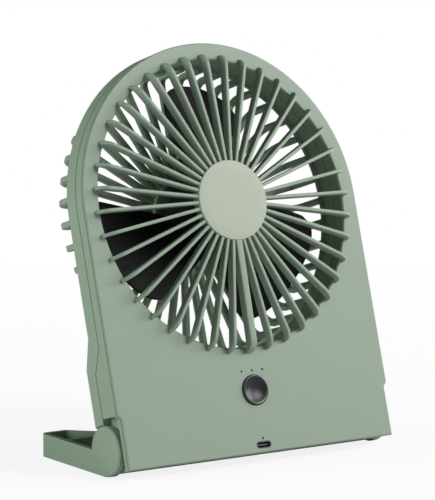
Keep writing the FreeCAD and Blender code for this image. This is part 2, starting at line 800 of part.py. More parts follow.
def hinge_bosses(body):
    """Bosses inside the waist that the hinge pins turn in."""
    for side, name in zip(SIDES, ("left", "right")):
        inner = WAIST - WALL - size("pin_boss_length")
        length = size("pin_boss_length") + WALL / 2
        boss = side_sketch(body, name + "_boss", side * inner)
        circle(boss, 0, 0, size("pin_boss_radius"))
        pad(body, boss, length, back=side < 0)
    bore = side_sketch(body, "pin_bore")
    circle(bore, 0, 0, size("pin_radius") + size("pin_fit"))
    pocket(body, bore, both=True)


def cradle_places():
    """Where the cradle ribs stand across the body."""
    for side in SIDES:
        inner = CELL_START + size("cradle_inset")
        outer = CELL_START + size("cell_length") - size("cradle_inset")
        yield side * inner
        yield side * outer


def cell_cradles(body):
    """Ribs in the bay with a round seat for the battery cells."""
    reach = size("cell_radius") + size("cell_seat")
    low = size("cell_height") - reach
    high = size("cell_height") + reach
    edge = WALL / 2
    for number, across in enumerate(cradle_places()):
        rib = side_sketch(body, "cradle_%d" % number, across)
        points = [
            (low, CELL_AXIS),
            (high, CELL_AXIS),
            (BAY_ROOF + edge, CELL_AXIS),
            (BAY_ROOF + edge, BAY_BACK - edge),
            (low - edge, BAY_BACK - edge),
            (low - edge, CELL_AXIS),
        ]
        outline(rib, points, {0: ((size("cell_height"), CELL_AXIS), False)})
        pad(body, rib, size("cradle_width"), both=True)


def front_rib_profile(sketch):
    """Seen from the side: a foot on the face, a bend forwards, a run to the hub."""
    reach = OPENING + size("front_rib_beyond")
    bend = size("front_rib_bend")
    inner = reach - size("front_rib_foot")
    small = size("front_rib_inner_bend")
    hub = size("front_hub_radius") - size("piece_fit")
    points = [
        (reach, FRONT),
        (reach - bend, FRONT + bend),
        (hub, FRONT + size("front_hub_rise")),
        (hub, FRONT + size("front_hub_back")),
        (inner - small, FRONT + small),
        (inner, FRONT),
    ]
    outline(sketch, points, {0: ((reach - bend, FRONT), False)})


def make_front_grille():
    """Forty bent ribs on a round hub, and one broader rib that hides the leads."""
    body = new_body("front_grille")
    lean(body, FAN)
    hub = face_sketch(body, "hub", FRONT + size("front_hub_back"))
    circle(hub, 0, 0, size("front_hub_radius"))
    top = size("disc_front") - size("disc_thickness")
    pad(body, hub, top - size("front_hub_back"))
    rib = side_sketch(body, "rib")
    front_rib_profile(rib)
    original = pad(body, rib, size("front_rib_width"), both=True)
    polar(body, original, size("rib_count"), "ribs")
    wide = sketch_on(body, "YZ_Plane", "lead_rib")
    hub_edge = size("front_hub_radius") - size("piece_fit")
    mirror_front_rib(wide, hub_edge)
    pad(body, wide, size("lead_rib_width"), both=True)
    bores = face_sketch(body, "screw_bores", FRONT + size("front_hub_back"))
    circles(bores, motor_screw_places(), size("small_screw_radius") + size("shaft_fit"))
    pocket(body, bores, size("front_wall"), back=True)


def mirror_front_rib(sketch, hub):
    """The front rib's profile below the hub."""
    reach = OPENING + size("front_rib_beyond")
    bend = size("front_rib_bend")
    inner = reach - size("front_rib_foot")
    small = size("front_rib_inner_bend")
    points = [
        (-reach, FRONT),
        (bend - reach, FRONT + bend),
        (-hub, FRONT + size("front_hub_rise")),
        (-hub, FRONT + size("front_hub_back")),
        (small - inner, FRONT + small),
        (-inner, FRONT),
    ]
    outline(sketch, points, {0: ((bend - reach, FRONT), True)})


def motor_screw_places():
    for number in range(MOTOR_SCREWS):
        angle = RIGHT_ANGLE + FULL_TURN * number / MOTOR_SCREWS
        across = size("motor_screw_circle") * cosine(angle)
        yield across, size("motor_screw_circle") * sine(angle)


def make_centre_disc():
    """Round cap over the front hub."""
    body = new_body("centre_disc")
    lean(body, FAN)
    face = face_sketch(body, "face", FRONT + size("disc_front"))
    circle(face, 0, 0, size("disc_radius"))
    pad(body, face, size("disc_thickness"), back=True)
    front = FRONT + size("disc_front")
    round_edges(
        body, "edge", size("disc_chamfer"), lambda edge: lies_at(edge, "z", front), "Chamfer",
    )


def make_rear_grille():
    """Rear cage: base ring, forty bent ribs, a hoop and a hub with a rim."""
    body = new_body("rear_grille")
    lean(body, FAN)
    ring = section_sketch(body, "ring")
    rectangle(
        ring, OPENING - size("cage_ring_within"), CAGE_RING,
        -size("cage_ring_thickness"), formula(0.0),
    )
    turned(body, "Revolution", ring)
    rib = side_sketch(body, "rib")
    outer = CAGE
    bend = size("cage_bend")
    deep = size("rear_rib_depth")
    back = -size("cage_depth")
    inner_bend = (bend - deep) / 2
    hub = size("rear_hub_radius") - size("rear_hub_wall") / 2
    start = -size("cage_ring_thickness") / 2
    points = [
        (outer, start),
        (outer - deep, start),
        (outer - deep, back + deep + inner_bend),
        (outer - deep - inner_bend, back + deep),
        (hub, back + deep),
        (hub, back),
        (outer - bend, back),
        (outer, back + bend),
    ]
    outline(rib, points, {6: ((outer - bend, back + bend), False)})
    original = pad(body, rib, size("rear_rib_width"), both=True)
    polar(body, original, size("rib_count"), "ribs")
    hoop = section_sketch(body, "hoop")
    rectangle(
        hoop, outer - deep - WALL / 4, outer - size("hoop_inset"),
        -size("hoop_back") - size("hoop_width"), -size("hoop_back"),
    )
    turned(body, "Revolution", hoop)
    plate = section_sketch(body, "hub")
    rim = size("rear_hub_radius")
    wall = size("rear_hub_wall")
    front = back + size("rear_hub_length")
    outline(plate, [
        (0, back), (rim, back), (rim, front), (rim - wall, front),
        (rim - wall, back + wall), (0, back + wall),
    ])
    turned(body, "Revolution", plate)


BASE_FRONT = FRONT + size("front_hub_back")
BASE_BACK = BASE_FRONT - size("base_thickness")
TUBE_BACK = BASE_BACK - size("tube_length")
TUBE_RADIUS = size("bearing_radius") + size("piece_fit") + size("tube_wall")
YOKE_FRONT = BASE_BACK - size("yoke_gap")
YOKE_BACK = YOKE_FRONT - size("yoke_length")
MAGNET_INSIDE = size("stator_radius") + size("air_gap")
YOKE_INSIDE = MAGNET_INSIDE + size("magnet_thickness") + size("piece_fit")
YOKE_RADIUS = YOKE_INSIDE + size("yoke_wall")
HUB_RADIUS = YOKE_RADIUS + size("piece_fit") + size("hub_wall")
HUB_FRONT = YOKE_FRONT
HUB_BACK = HUB_FRONT - size("hub_length")


def ring_body(name, inner, outer, low, high):
    """A plain ring about the fan's axis."""
    body = new_body(name)
    lean(body, FAN)
    section = section_sketch(body, "section")
    rectangle(section, inner, outer, low, high)
    turned(body, "Revolution", section)
    return body


def make_motor_base():
    """Plate on the front hub with a tube for the bearings."""
    body = new_body("motor_base")
    lean(body, FAN)
    inside = size("bearing_radius") + size("piece_fit")
    section = section_sketch(body, "section")
    outline(section, [
        (inside, TUBE_BACK),
        (TUBE_RADIUS, TUBE_BACK),
        (TUBE_RADIUS, BASE_BACK),
        (size("base_radius"), BASE_BACK),
        (size("base_radius"), BASE_FRONT),
        (inside, BASE_FRONT),
    ])
    turned(body, "Revolution", section)
    bores = face_sketch(body, "bores", BASE_FRONT)
    circles(bores, motor_screw_places(), size("small_screw_radius") + size("piece_fit"))
    pocket(body, bores)


def make_bearings():
    """Two ball bearings, drawn as plain rings, at the ends of the tube."""
    inner = size("shaft_radius") + size("shaft_fit")
    wide = size("bearing_width")
    outer = size("bearing_radius")
    ring_body("bearing_front", inner, outer, BASE_FRONT - wide, BASE_FRONT)
    ring_body("bearing_rear", inner, outer, TUBE_BACK, TUBE_BACK + wide)


def make_stator():
    """Toothed core on the bearing tube."""
    body = new_body("stator_core")
    lean(body, FAN)
    low = YOKE_BACK + size("yoke_wall") + size("yoke_gap")
    inner = TUBE_RADIUS + size("piece_fit")
    section = section_sketch(body, "ring")
    rectangle(section, inner, inner + size("tube_wall"), low, low + size("stator_height"))
    turned(body, "Revolution", section)
    tooth = face_sketch(body, "tooth", low)
    half = size("tooth_width") / 2
    shoe = size("tooth_shoe") / 2
    reach = size("stator_radius")
    neck = reach - half
    tip = across_circle(reach, shoe)
    outline(tooth, [
        (inner + half, -half), (neck, -half), (neck, -shoe), (tip, -shoe),
        (tip, shoe), (neck, shoe), (neck, half), (inner + half, half),
    ], {3: ((0, 0), False)})
    original = pad(body, tooth, size("stator_height"))
    polar(body, original, size("stator_teeth"), "teeth")


def make_stator_coils():
    """One wound coil on each tooth, as separate blocks."""
    body = new_body("stator_coils")
    body.AllowCompound = True
    lean(body, FAN)
    low = YOKE_BACK + size("yoke_wall") + size("yoke_gap")
    inner = TUBE_RADIUS + size("piece_fit") + size("tube_wall") + size("piece_fit")
    outer = size("stator_radius") - size("tooth_width") / 2 - size("piece_fit")
    half = size("tooth_width") / 2
    thick = size("coil_thickness")
    over = size("air_gap") * 2
    gap = size("piece_fit")
    coil = sketch_on(body, "YZ_Plane", "coil", inner + gap)
    rectangle(coil, -half - thick, half + thick, low - over, low + size("stator_height") + over)
    rectangle(coil, -half - gap, half + gap, low - gap, low + size("stator_height") + gap)
    original = pad(body, coil, outer - inner - gap * 2)
    polar(body, original, size("stator_teeth"), "coils")


def make_rotor():
    """Steel cup, magnet ring and shaft, which turn with the impeller."""
    cup = new_body("rotor_yoke")
    lean(cup, FAN)
    bore = size("shaft_radius") + size("shaft_fit")
    wall = size("yoke_wall")
    section = section_sketch(cup, "section")
    outline(section, [
        (bore, YOKE_BACK), (YOKE_RADIUS, YOKE_BACK), (YOKE_RADIUS, YOKE_FRONT),
        (YOKE_INSIDE, YOKE_FRONT), (YOKE_INSIDE, YOKE_BACK + wall), (bore, YOKE_BACK + wall),
    ])
    turned(cup, "Revolution", section)
    magnet_back = YOKE_BACK + wall + size("piece_fit")
    magnet_front = YOKE_FRONT - size("air_gap")
    ring_body(
        "rotor_magnet", MAGNET_INSIDE, YOKE_INSIDE - size("piece_fit"),
        magnet_back, magnet_front,
    )
    shaft = new_body("motor_shaft")
    lean(shaft, FAN)
    front = BASE_FRONT - size("air_gap")
    back = YOKE_BACK - size("hub_wall") - size("piece_fit") - size("bearing_width") * 2
    face = face_sketch(shaft, "face", back)
    circle(face, 0, 0, size("shaft_radius"))
    pad(shaft, face, front - back)


def impeller_hub(body):
    """Cup over the rotor with a web and a boss for the shaft."""
    bore = size("shaft_radius") + size("shaft_fit")
    web_front = YOKE_BACK - size("piece_fit")
    web_back = web_front - size("hub_wall")
    boss = size("bearing_radius")
    boss_back = web_back - size("bearing_width") * 2
    inside = HUB_RADIUS - size("hub_wall")
    section = section_sketch(body, "hub")
    outline(section, [
        (bore, boss_back), (boss, boss_back), (boss, web_back), (inside, web_back),
        (inside, HUB_BACK), (HUB_RADIUS, HUB_BACK), (HUB_RADIUS, HUB_FRONT),
        (inside, HUB_FRONT), (inside, web_front), (bore, web_front),
    ])
    turned(body, "Revolution", section)


def make_impeller():
    """Three broad pitched blades on a round hub, their front edges swept forward."""
    body = new_body("impeller")
    lean(body, FAN)
    impeller_hub(body)
    root_radius = HUB_RADIUS - size("hub_wall") / 2
    half = size("blade_thickness") / 2
    rise = size("blade_front") + size("blade_back")
    drawn_in = size("blade_front_past") - size("blade_rear_past")
    sections = []
    for number in range(BLADE_SECTIONS):
        share = number / (BLADE_SECTIONS - 1)
        turn = size("blade_turn") - size("blade_sweep") * share
        past = size("blade_front_past") - drawn_in * share
        middle = size("blade_front") - rise * share
        start = across_circle(root_radius, past)
        tip = across_circle((OPENING - size("blade_room")) * blade_reach(share), past)
        sketch = blade_sketch(body, "blade_%d" % number, turn, past)
        rectangle(sketch, start, tip, middle - half, middle + half)
        sections.append(sketch)
    blade = body.newObject("PartDesign::AdditiveLoft", "impeller_blade")
    blade.Profile = sections[0]
    blade.Sections = sections[1:]
    blade.Ruled = True
    body.Tip = blade
    polar(body, blade, formula(BLADES), "blades")


def blade_reach(share):
    """The blade's corners are drawn in a little towards its two edges."""
    edge = abs(2.0 * share - 1.0)
    return 1.0 - size("blade_corner") * edge ** 4


def make_cells():
    """Two round battery cells end to end across the bay."""
    for side, name in zip(SIDES, ("battery_cell_left", "battery_cell_right")):
        body = new_body(name)
        lean(body)
        face = side_sketch(body, "face", side * CELL_START)
        circle(face, size("cell_height"), CELL_AXIS, size("cell_radius"))
        pad(body, face, size("cell_length"), back=side < 0)
        nub = side_sketch(body, "nub", side * CELL_START)
        circle(nub, size("cell_height"), CELL_AXIS, size("cell_nub_radius"))
        pad(body, nub, size("cell_nub_length"), back=side > 0)


def make_board():
    """Control board behind the button, with its socket and switch on it."""
    body = new_body("control_board")
    lean(body)
    front = FRONT - size("board_setback")
    top = BAY_ROOF - size("board_roof_room")
    face = face_sketch(body, "face", front)
    rectangle(face, -BOARD_HALF, BOARD_HALF, -size("board_bottom"), top)
    circles(face, board_post_places(), size("small_screw_radius") + size("piece_fit"))
    pad(body, face, size("board_thickness"), back=True)

    switch = new_body("tact_switch")
    lean(switch)
    side = size("switch_side") / 2
    height = size("button_height")
    base = face_sketch(switch, "base", front)
    rectangle(base, -side, side, height - side, height + side)
    pad(switch, base, size("switch_height"))
    plunger = face_sketch(switch, "plunger", front + size("switch_height"))
    circle(plunger, 0, height, size("plunger_radius"))
    pad(switch, plunger, size("plunger_height"))


def make_socket():
    """Charging socket: a thin metal shell with a tongue inside."""
    body = new_body("usb_socket")
    lean(body)
    back = FRONT - size("board_setback")
    low = -size("port_height")
    wall = size("port_wall") * 2
    face = face_sketch(body, "face", back)
    port_outline(face, 0, low, size("port_width"), size("port_thickness"))
    length = size("board_setback") - size("port_wall")
    pad(body, face, length)
    hollow = face_sketch(body, "hollow", back + length)
    port_outline(hollow, 0, low, size("port_width") - wall, size("port_thickness") - wall)
    pocket(body, hollow, length - wall)
    tongue = face_sketch(body, "tongue", back + wall / 2)
    across = size("port_width") / 2 - wall
    thin = size("port_wall")
    rectangle(tongue, -across, across, low - thin, low + thin)
    pad(body, tongue, length - wall * 2)


def make_light_pipes():
    """Four clear rods from the board to the face."""
    body = new_body("light_pipes")
    body.AllowCompound = True
    lean(body)
    back = FRONT - size("board_setback") + size("piece_fit")
    face = face_sketch(body, "face", back)
    for step in LEVEL_LAMPS:
        across = step * size("lamp_pitch") if step else 0
        circle(face, across, size("lamp_height"), size("lamp_radius"))
    circle(face, 0, -size("charge_lamp_height"), size("lamp_radius"))
    pad(body, face, size("board_setback") - size("piece_fit"))


def make_button():
    """Round button with a hollow face, a flange behind the wall and a stem."""
    body = new_body("power_button")
    lean(body, size("button_height"))
    front = FRONT + size("button_proud")
    flange_front = FRONT_INSIDE - size("piece_fit")
    flange_back = flange_front - size("button_flange_thickness")
    radius = size("button_radius")
    flange = radius + size("button_flange")
    switch_top = FRONT - size("board_setback") + size("switch_height") + size("plunger_height")
    stem_back = switch_top + size("button_travel") + size("shaft_fit")
    section = section_sketch(body, "section")
    outline(section, [
        (0, stem_back), (size("stem_radius"), stem_back), (size("stem_radius"), flange_back),
        (flange, flange_back), (flange, flange_front), (radius, flange_front),
        (radius, front), (0, front),
    ])
    turned(body, "Revolution", section)
    dish = section_sketch(body, "dish")
    rim = radius - size("dish_rim")
    outline(dish, [
        (0, front - size("dish_depth")), (size("dish_floor"), front - size("dish_step")),
        (rim, front), (0, front),
    ])
    doc.recompute()
    before = body.Tip.Shape.Volume
    turned(body, "Groove", dish)
    doc.recompute()
    if not body.Tip.Shape.Volume < before:
        raise ValueError("the button's hollow cuts nothing")


def screw_group(name, groups, up_panel=0.0):
    """Screws in one node: each group is places, head plane, shank length and sizes."""
    body = new_body(name)
    body.AllowCompound = True
    lean(body, up_panel)
    for number, (places, plane, length, shank, head, height, back) in enumerate(groups):
        heads = face_sketch(body, "heads_%d" % number, plane)
        circles(heads, places(), head)
        pad(body, heads, height, back=back)
        shanks = face_sketch(body, "shanks_%d" % number, plane)
        circles(shanks, places(), shank)
        pad(body, shanks, length, back=not back)


def make_screws():
    """Shell screws from the back, board screws and motor screws."""
    reach = size("seam_high") - size("front_wall") - size("shell_wall")
    recess = size("screw_head_height")
    groups = []
    for places, back, seam in (
        (upper_screw_places, formula(0.0), SEAM_HIGH),
        (low_screw_places, BACK, SEAM_LOW),
    ):
        plane = back + recess
        groups.append((
            places, plane, seam - plane + reach, size("screw_radius"),
            size("screw_head_radius"), size("screw_head_height"), True,
        ))
    screw_group("housing_screws", groups)
    small = (size("small_screw_radius"), size("small_head_radius"), size("small_head_height"))
    plane = FRONT - size("board_setback") - size("board_thickness")
    length = size("board_thickness") + size("board_setback") / 2
    screw_group("board_screws", [(board_post_places, plane, length) + small + (True,)])
    length = size("base_thickness") + size("front_wall") - size("piece_fit")
    screw_group("motor_screws", [(motor_screw_places, BASE_BACK, length) + small + (True,)], FAN)


def foot_outline(sketch, wall, side):
    """The foot from above, between its outer sides and round the bow in its middle."""
    bow = CAGE_RING + size("foot_bow_room")
    inner = bow + wall
    outer = bow + size("foot_bow_width") - wall
    front = size("foot_front") + wall
    back = size("foot_reach") - wall
    rear_end = across_circle(inner, FAN - back)
    front_end = across_circle(outer, FAN - front)
    points = [
        (-side, front), (-front_end, front), (front_end, front), (side, front),
        (side, back), (rear_end, back), (-rear_end, back), (-side, back),
    ]
    centre = (0, FAN)
    outline(sketch, points, {1: (centre, False), 5: (centre, True)})


def make_foot_frame():
    """One moulding: knuckles, arms and a hollow box that bows round the folded fan."""
    body = new_body("foot_frame")
    stand(body)
    low = -size("knuckle_radius")
    wall = size("foot_wall")
    box = face_sketch(body, "box", low)
    foot_outline(box, formula(0.0), HALF)
    pad(body, box, size("foot_height"))
    for side, name in zip(SIDES, ("left", "right")):
        arm = face_sketch(body, name + "_arm", low)
        inside = side * (HALF - size("arm_wall"))
        rectangle(arm, side * HALF, inside, 0, size("foot_front") + wall)
        pad(body, arm, size("foot_height"))
        knuckle = face_sketch(body, name + "_knuckle")
        knuckle_section(knuckle, side)
        turned(body, "Revolution", knuckle, "X_Axis")
    hollow = face_sketch(body, "hollow", low + size("foot_height"))
    foot_outline(hollow, wall, HALF - size("arm_wall"))
    pocket(body, hollow, size("foot_height") - wall)
    for side, name in zip(SIDES, ("left", "right")):
        hinge = side_sketch(body, name + "_pin_hole", side * KNUCKLE_INSIDE)
        circle(hinge, 0, 0, size("pin_radius") + size("shaft_fit"))
        pocket(body, hinge, size("pin_hold") + size("piece_fit"), back=side > 0)
        seat = side_sketch(body, name + "_cap_seat", side * HALF)
        circle(seat, 0, 0, size("cap_radius") + size("piece_fit"))
        pocket(body, seat, size("cap_thickness"), back=side < 0)
    recess = face_sketch(body, "pad_recess", low)
    pad_shapes(recess, size("piece_fit"))
    pocket(body, recess, size("pad_recess"), back=True)
    round_edges(
        body, "corner", size("foot_corner"),
        lambda edge: lies_at(edge, "y", size("foot_reach"))
        and abs(middle_of(edge).x) > HALF.value - NEAR,
    )
    round_edges(
        body, "horn", size("foot_horn"),
        lambda edge: lies_at(edge, "y", size("foot_reach")) and upright(edge)
        and abs(middle_of(edge).x) < HALF.value - size("foot_corner").value - NEAR,
    )


def knuckle_section(sketch, side):
    """Half of a knuckle's section, with the bevel of its outer edge."""
    radius = size("knuckle_radius")
    bevel = size("knuckle_bevel")
    outline(sketch, [
        (side * KNUCKLE_INSIDE, 0), (side * HALF, 0), (side * HALF, radius - bevel),
        (side * (HALF - bevel), radius), (side * KNUCKLE_INSIDE, radius),
    ])


def middle_of(edge):
    return edge.valueAt((edge.FirstParameter + edge.LastParameter) / 2)


def upright(edge):
    """The edge runs along the body's Z axis."""
    start = edge.valueAt(edge.FirstParameter)
    end = edge.valueAt(edge.LastParameter)
    return math.hypot(end.x - start.x, end.y - start.y) < 1e-4 < abs(end.z - start.z)


def pad_shapes(sketch, room):
    """A long pad under each arm and a round one under each corner box."""
    half = size("pad_width") / 2 + room
    start = size("pad_start") - room
    arm = HALF - size("arm_wall") / 2
    across = HALF - size("arm_wall") - size("pad_radius") * 2
    back = (size("foot_front") + size("foot_reach")) / 2
    end = start + size("pad_length") + room * 2
    for side in SIDES:
        rectangle(sketch, side * arm - half, side * arm + half, start, end)
        circle(sketch, side * across, back, size("pad_radius") + room)


def make_foot_pads():
    body = new_body("foot_pads")
    body.AllowCompound = True
    stand(body)
    face = face_sketch(body, "face", -size("knuckle_radius"))
    pad_shapes(face, formula(0.0))
    pad(body, face, size("pad_recess") - size("piece_fit") / 2)


def make_hinge_hardware():
    """Right hinge's cap, pin, nut and friction washer."""
    cap = new_body("hinge_cap_right")
    stand(cap)
    face = side_sketch(cap, "face", HALF - size("cap_thickness") + size("piece_fit") / 2)
    circle(face, 0, 0, size("cap_radius"))
    pad(cap, face, size("cap_thickness") - size("piece_fit") / 2)

    boss_inside = WAIST - WALL - size("pin_boss_length")
    nut_outside = boss_inside - size("piece_fit")
    pin = new_body("hinge_pin_right")
    stand(pin)
    start = nut_outside - size("nut_height") - size("pin_tail")
    face = side_sketch(pin, "face", start)
    circle(face, 0, 0, size("pin_radius"))
    pad(pin, face, KNUCKLE_INSIDE + size("pin_hold") - start)

    nut = new_body("hinge_nut_right")
    stand(nut)
    face = side_sketch(nut, "face", nut_outside - size("nut_height"))
    corner = size("nut_width") / root(formula(3.0))
    step = FULL_TURN / NUT_SIDES
    turns = [step * number for number in range(NUT_SIDES)]
    outline(face, [(corner * cosine(turn), corner * sine(turn)) for turn in turns])
    circle(face, 0, 0, size("pin_radius") + size("shaft_fit"))
    pad(nut, face, size("nut_height"))

    washer = new_body("hinge_washer_right")
    lean(washer)
    face = side_sketch(washer, "face", WAIST)
    circle(face, 0, 0, size("washer_radius"))
    circle(face, 0, 0, size("pin_radius") + size("pin_fit"))
    pad(washer, face, size("washer_thickness"))


def mirror_to_left():
    """The left hinge is a mirror image of the right one."""
    for name in ("hinge_cap", "hinge_pin", "hinge_nut", "hinge_washer"):
        image = doc.addObject("Part::Mirroring", name + "_left")
        image.Label = name + "_left"
        image.Source = doc.getObject(name + "_right")
        image.Base = FreeCAD.Vector(0, 0, 0)
        image.Normal = FreeCAD.Vector(1, 0, 0)
        SHAPE_NAMES.append(name + "_left")


def check_document():
    """Stop when anything failed to build."""
    for thing in doc.Objects:
        if "Invalid" in thing.State or "Error" in thing.State:
            raise RuntimeError(thing.Name + " failed: " + ", ".join(thing.State))
    for name in SHAPE_NAMES:
        shape = doc.getObject(name).Shape
        if shape.isNull() or not shape.isValid() or not shape.Solids:
            raise RuntimeError(name + " has no sound shape")


def centre_on_origin():
    """Move the hinge axis so that the outer box is centred on the origin."""
    low = min(doc.getObject(name).Shape.optimalBoundingBox(False).YMin for name in SHAPE_NAMES)
    high = max(doc.getObject(name).Shape.optimalBoundingBox(False).YMax for name in SHAPE_NAMES)
    middle = (low + high) / 2
    offset = round(sheet.hinge_offset - middle, 3)
    sheet.set(sheet.getCellFromAlias("hinge_offset"), str(offset))
    doc.recompute()


def write_parts():
    os.makedirs("parts", exist_ok=True)
    for name in SHAPE_NAMES:
        shape = doc.getObject(name).Shape
        shape.exportStep(os.path.join("parts", name + ".step"))
        print("%-22s solids %2d  volume %10.1f" % (name, len(shape.Solids), shape.Volume))


make_front_housing()
make_rear_cover()
make_front_grille()
make_centre_disc()
make_rear_grille()
make_motor_base()
make_bearings()
make_stator()
make_stator_coils()
make_rotor()
make_impeller()
make_cells()
make_board()
make_socket()
make_light_pipes()
make_button()
make_screws()
make_foot_frame()
make_foot_pads()
make_hinge_hardware()
mirror_to_left()
doc.recompute()
check_document()
centre_on_origin()
check_document()
write_parts()
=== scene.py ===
"""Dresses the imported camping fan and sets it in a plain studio.

Sizes are in metres. Panel pieces are drawn with X across, Y up the panel and Z out of its
front, from the middle of the tilt hinge, and are then leaned into place. Fan pieces are
drawn the same way round the fan's axis, with Z = 0 on the panel's rear face.
"""
import json
import math

import bmesh
import bpy
from mathutils import Matrix, Vector


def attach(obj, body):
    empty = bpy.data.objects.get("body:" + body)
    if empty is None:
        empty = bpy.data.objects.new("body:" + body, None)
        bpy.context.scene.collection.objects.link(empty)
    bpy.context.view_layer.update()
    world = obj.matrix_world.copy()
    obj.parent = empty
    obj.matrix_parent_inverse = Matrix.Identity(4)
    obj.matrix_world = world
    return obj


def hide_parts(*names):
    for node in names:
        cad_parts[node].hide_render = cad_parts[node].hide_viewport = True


bl_info = {
    "name": "Camping fan",
    "version": (1, 0, 0),
    "blender": (4, 5, 0),
    "location": "3D View > Sidebar > Fan",
    "description": "Builds the finished surfaces of a folding camping fan",
    "category": "Object",
}

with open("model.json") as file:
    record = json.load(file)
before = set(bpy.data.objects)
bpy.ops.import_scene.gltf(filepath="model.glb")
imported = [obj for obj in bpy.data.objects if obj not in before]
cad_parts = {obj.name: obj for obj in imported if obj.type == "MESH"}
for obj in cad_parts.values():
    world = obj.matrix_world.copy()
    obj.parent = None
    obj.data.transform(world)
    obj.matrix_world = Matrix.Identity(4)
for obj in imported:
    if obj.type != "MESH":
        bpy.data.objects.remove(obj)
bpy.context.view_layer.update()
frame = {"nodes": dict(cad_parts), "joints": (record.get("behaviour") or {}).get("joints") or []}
TILT = next(joint for joint in frame["joints"] if joint["name"] == "head_tilt")
SPIN = next(joint for joint in frame["joints"] if joint["name"] == "fan_spin")
HINGE = Vector(TILT["pos_m"])
FAN_AXIS = Vector(SPIN["axis"])
LEAN = math.atan2(-FAN_AXIS.z, FAN_AXIS.y)
MM = 0.001
PANEL = Matrix.Translation(HINGE) @ Matrix.Rotation(math.pi / 2 - LEAN, 4, "X")
FAN_HEIGHT = (Vector(SPIN["pos_m"]) - HINGE).length
FAN = PANEL @ Matrix.Translation((0, FAN_HEIGHT, 0))
BUTTON_HEIGHT = 20.3 * MM
CAGE_BACK = -24.5 * MM
SEAM_LOW = (39.0 * MM, 2.7 * MM)        # lower end of the seam's slope: up the panel, and out
SEAM_HIGH = (51.0 * MM, 9.5 * MM)       # its upper end
ON_AXIS = 1e-7                          # a smaller radius is a point on the axis
LIGHTS_AIM = Vector((0, 0, 0.11))
CAMERA_PLACE = Vector((-0.85373, -1.19498 + HINGE.y, 0.31227))
CAMERA_AHEAD = Vector((0.56815, 0.81140, -0.13727)).normalized()
CAMERA_ROLL = math.radians(0.39)
CAMERA_LENS = 207.82                    # for a picture 36 mm high


class FanSizes(bpy.types.PropertyGroup):
    """Sizes of the dressed pieces."""

    panel_depth: bpy.props.FloatProperty(
        name="Panel depth", description="Front face to rear face of the upper panel",
        default=17.0 * MM, unit="LENGTH")
    rib_count: bpy.props.IntProperty(
        name="Ribs", description="Ribs of each grille", default=40, min=8, max=90)
    front_rib_width: bpy.props.FloatProperty(
        name="Front rib width", description="Front rib, side to side",
        default=1.8 * MM, unit="LENGTH")
    lead_rib_width: bpy.props.FloatProperty(
        name="Lead rib width", description="Lowest front rib, which hides the motor leads",
        default=3.8 * MM, unit="LENGTH")
    rear_rib_width: bpy.props.FloatProperty(
        name="Rear rib width", description="Rear rib, side to side",
        default=3.4 * MM, unit="LENGTH")
    rib_rounding: bpy.props.FloatProperty(
        name="Rib rounding", description="Rounding along every rib's edges",
        default=0.55 * MM, unit="LENGTH")
    disc_radius: bpy.props.FloatProperty(
        name="Disc radius", description="Centre disc", default=21.0 * MM, unit="LENGTH")
    disc_edge: bpy.props.FloatProperty(
        name="Disc edge", description="Rounding of the centre disc's rim",
        default=0.45 * MM, unit="LENGTH")
    button_radius: bpy.props.FloatProperty(
        name="Button radius", description="Power button", default=7.75 * MM, unit="LENGTH")
    dish_depth: bpy.props.FloatProperty(
        name="Dish depth", description="Hollow of the power button's face",
        default=1.5 * MM, unit="LENGTH")
    blade_count: bpy.props.IntProperty(
        name="Blades", description="Impeller blades", default=3, min=2, max=9)
    blade_radius: bpy.props.FloatProperty(
        name="Blade radius", description="Impeller over its blades",
        default=66.0 * MM, unit="LENGTH")
    blade_turn: bpy.props.FloatProperty(
        name="Blade turn", description="Direction of the first blade's front edge",
        default=math.radians(98.0), subtype="ANGLE")
    blade_sweep: bpy.props.FloatProperty(
        name="Blade sweep", description="From the front edge's direction to the rear edge's",
        default=math.radians(53.0), subtype="ANGLE")
    blade_front_past: bpy.props.FloatProperty(
        name="Front edge past axis", description="Distance of the front edge's line from the axis",
        default=13.0 * MM, unit="LENGTH")
    blade_rear_past: bpy.props.FloatProperty(
        name="Rear edge past axis", description="Distance of the rear edge's line from the axis",
        default=4.0 * MM, unit="LENGTH")
    shell_edge: bpy.props.FloatProperty(
        name="Shell edge", description="Softening of the shells' sharp edges",
        default=0.40 * MM, unit="LENGTH")
    seam_gap: bpy.props.FloatProperty(
        name="Seam gap", description="Shadow line between the two shells",
        default=0.45 * MM, unit="LENGTH")
    foot_edge: bpy.props.FloatProperty(
        name="Foot edge", description="Softening of the foot's edges",
        default=0.45 * MM, unit="LENGTH")


class FanFinish(bpy.types.PropertyGroup):
    """Colours of the finishes."""

    shell: bpy.props.FloatVectorProperty(
        name="Shell", description="Sage green of the shells, ribs and foot",
        default=(0.270, 0.345, 0.268), size=3, subtype="COLOR", min=0, max=1)
    disc: bpy.props.FloatVectorProperty(
        name="Disc", description="Paler green of the centre disc",
        default=(0.400, 0.445, 0.355), size=3, subtype="COLOR", min=0, max=1)
    blade: bpy.props.FloatVectorProperty(
        name="Blades", description="Black of the impeller",
        default=(0.006, 0.006, 0.006), size=3, subtype="COLOR", min=0, max=1)
    button: bpy.props.FloatVectorProperty(
        name="Button", description="Dark metal grey of the power button",
        default=(0.022, 0.022, 0.024), size=3, subtype="COLOR", min=0, max=1)
    floor: bpy.props.FloatVectorProperty(
        name="Floor", description="Pale floor", default=(0.90, 0.90, 0.90), size=3,
        subtype="COLOR", min=0, max=1)


# Shader maths


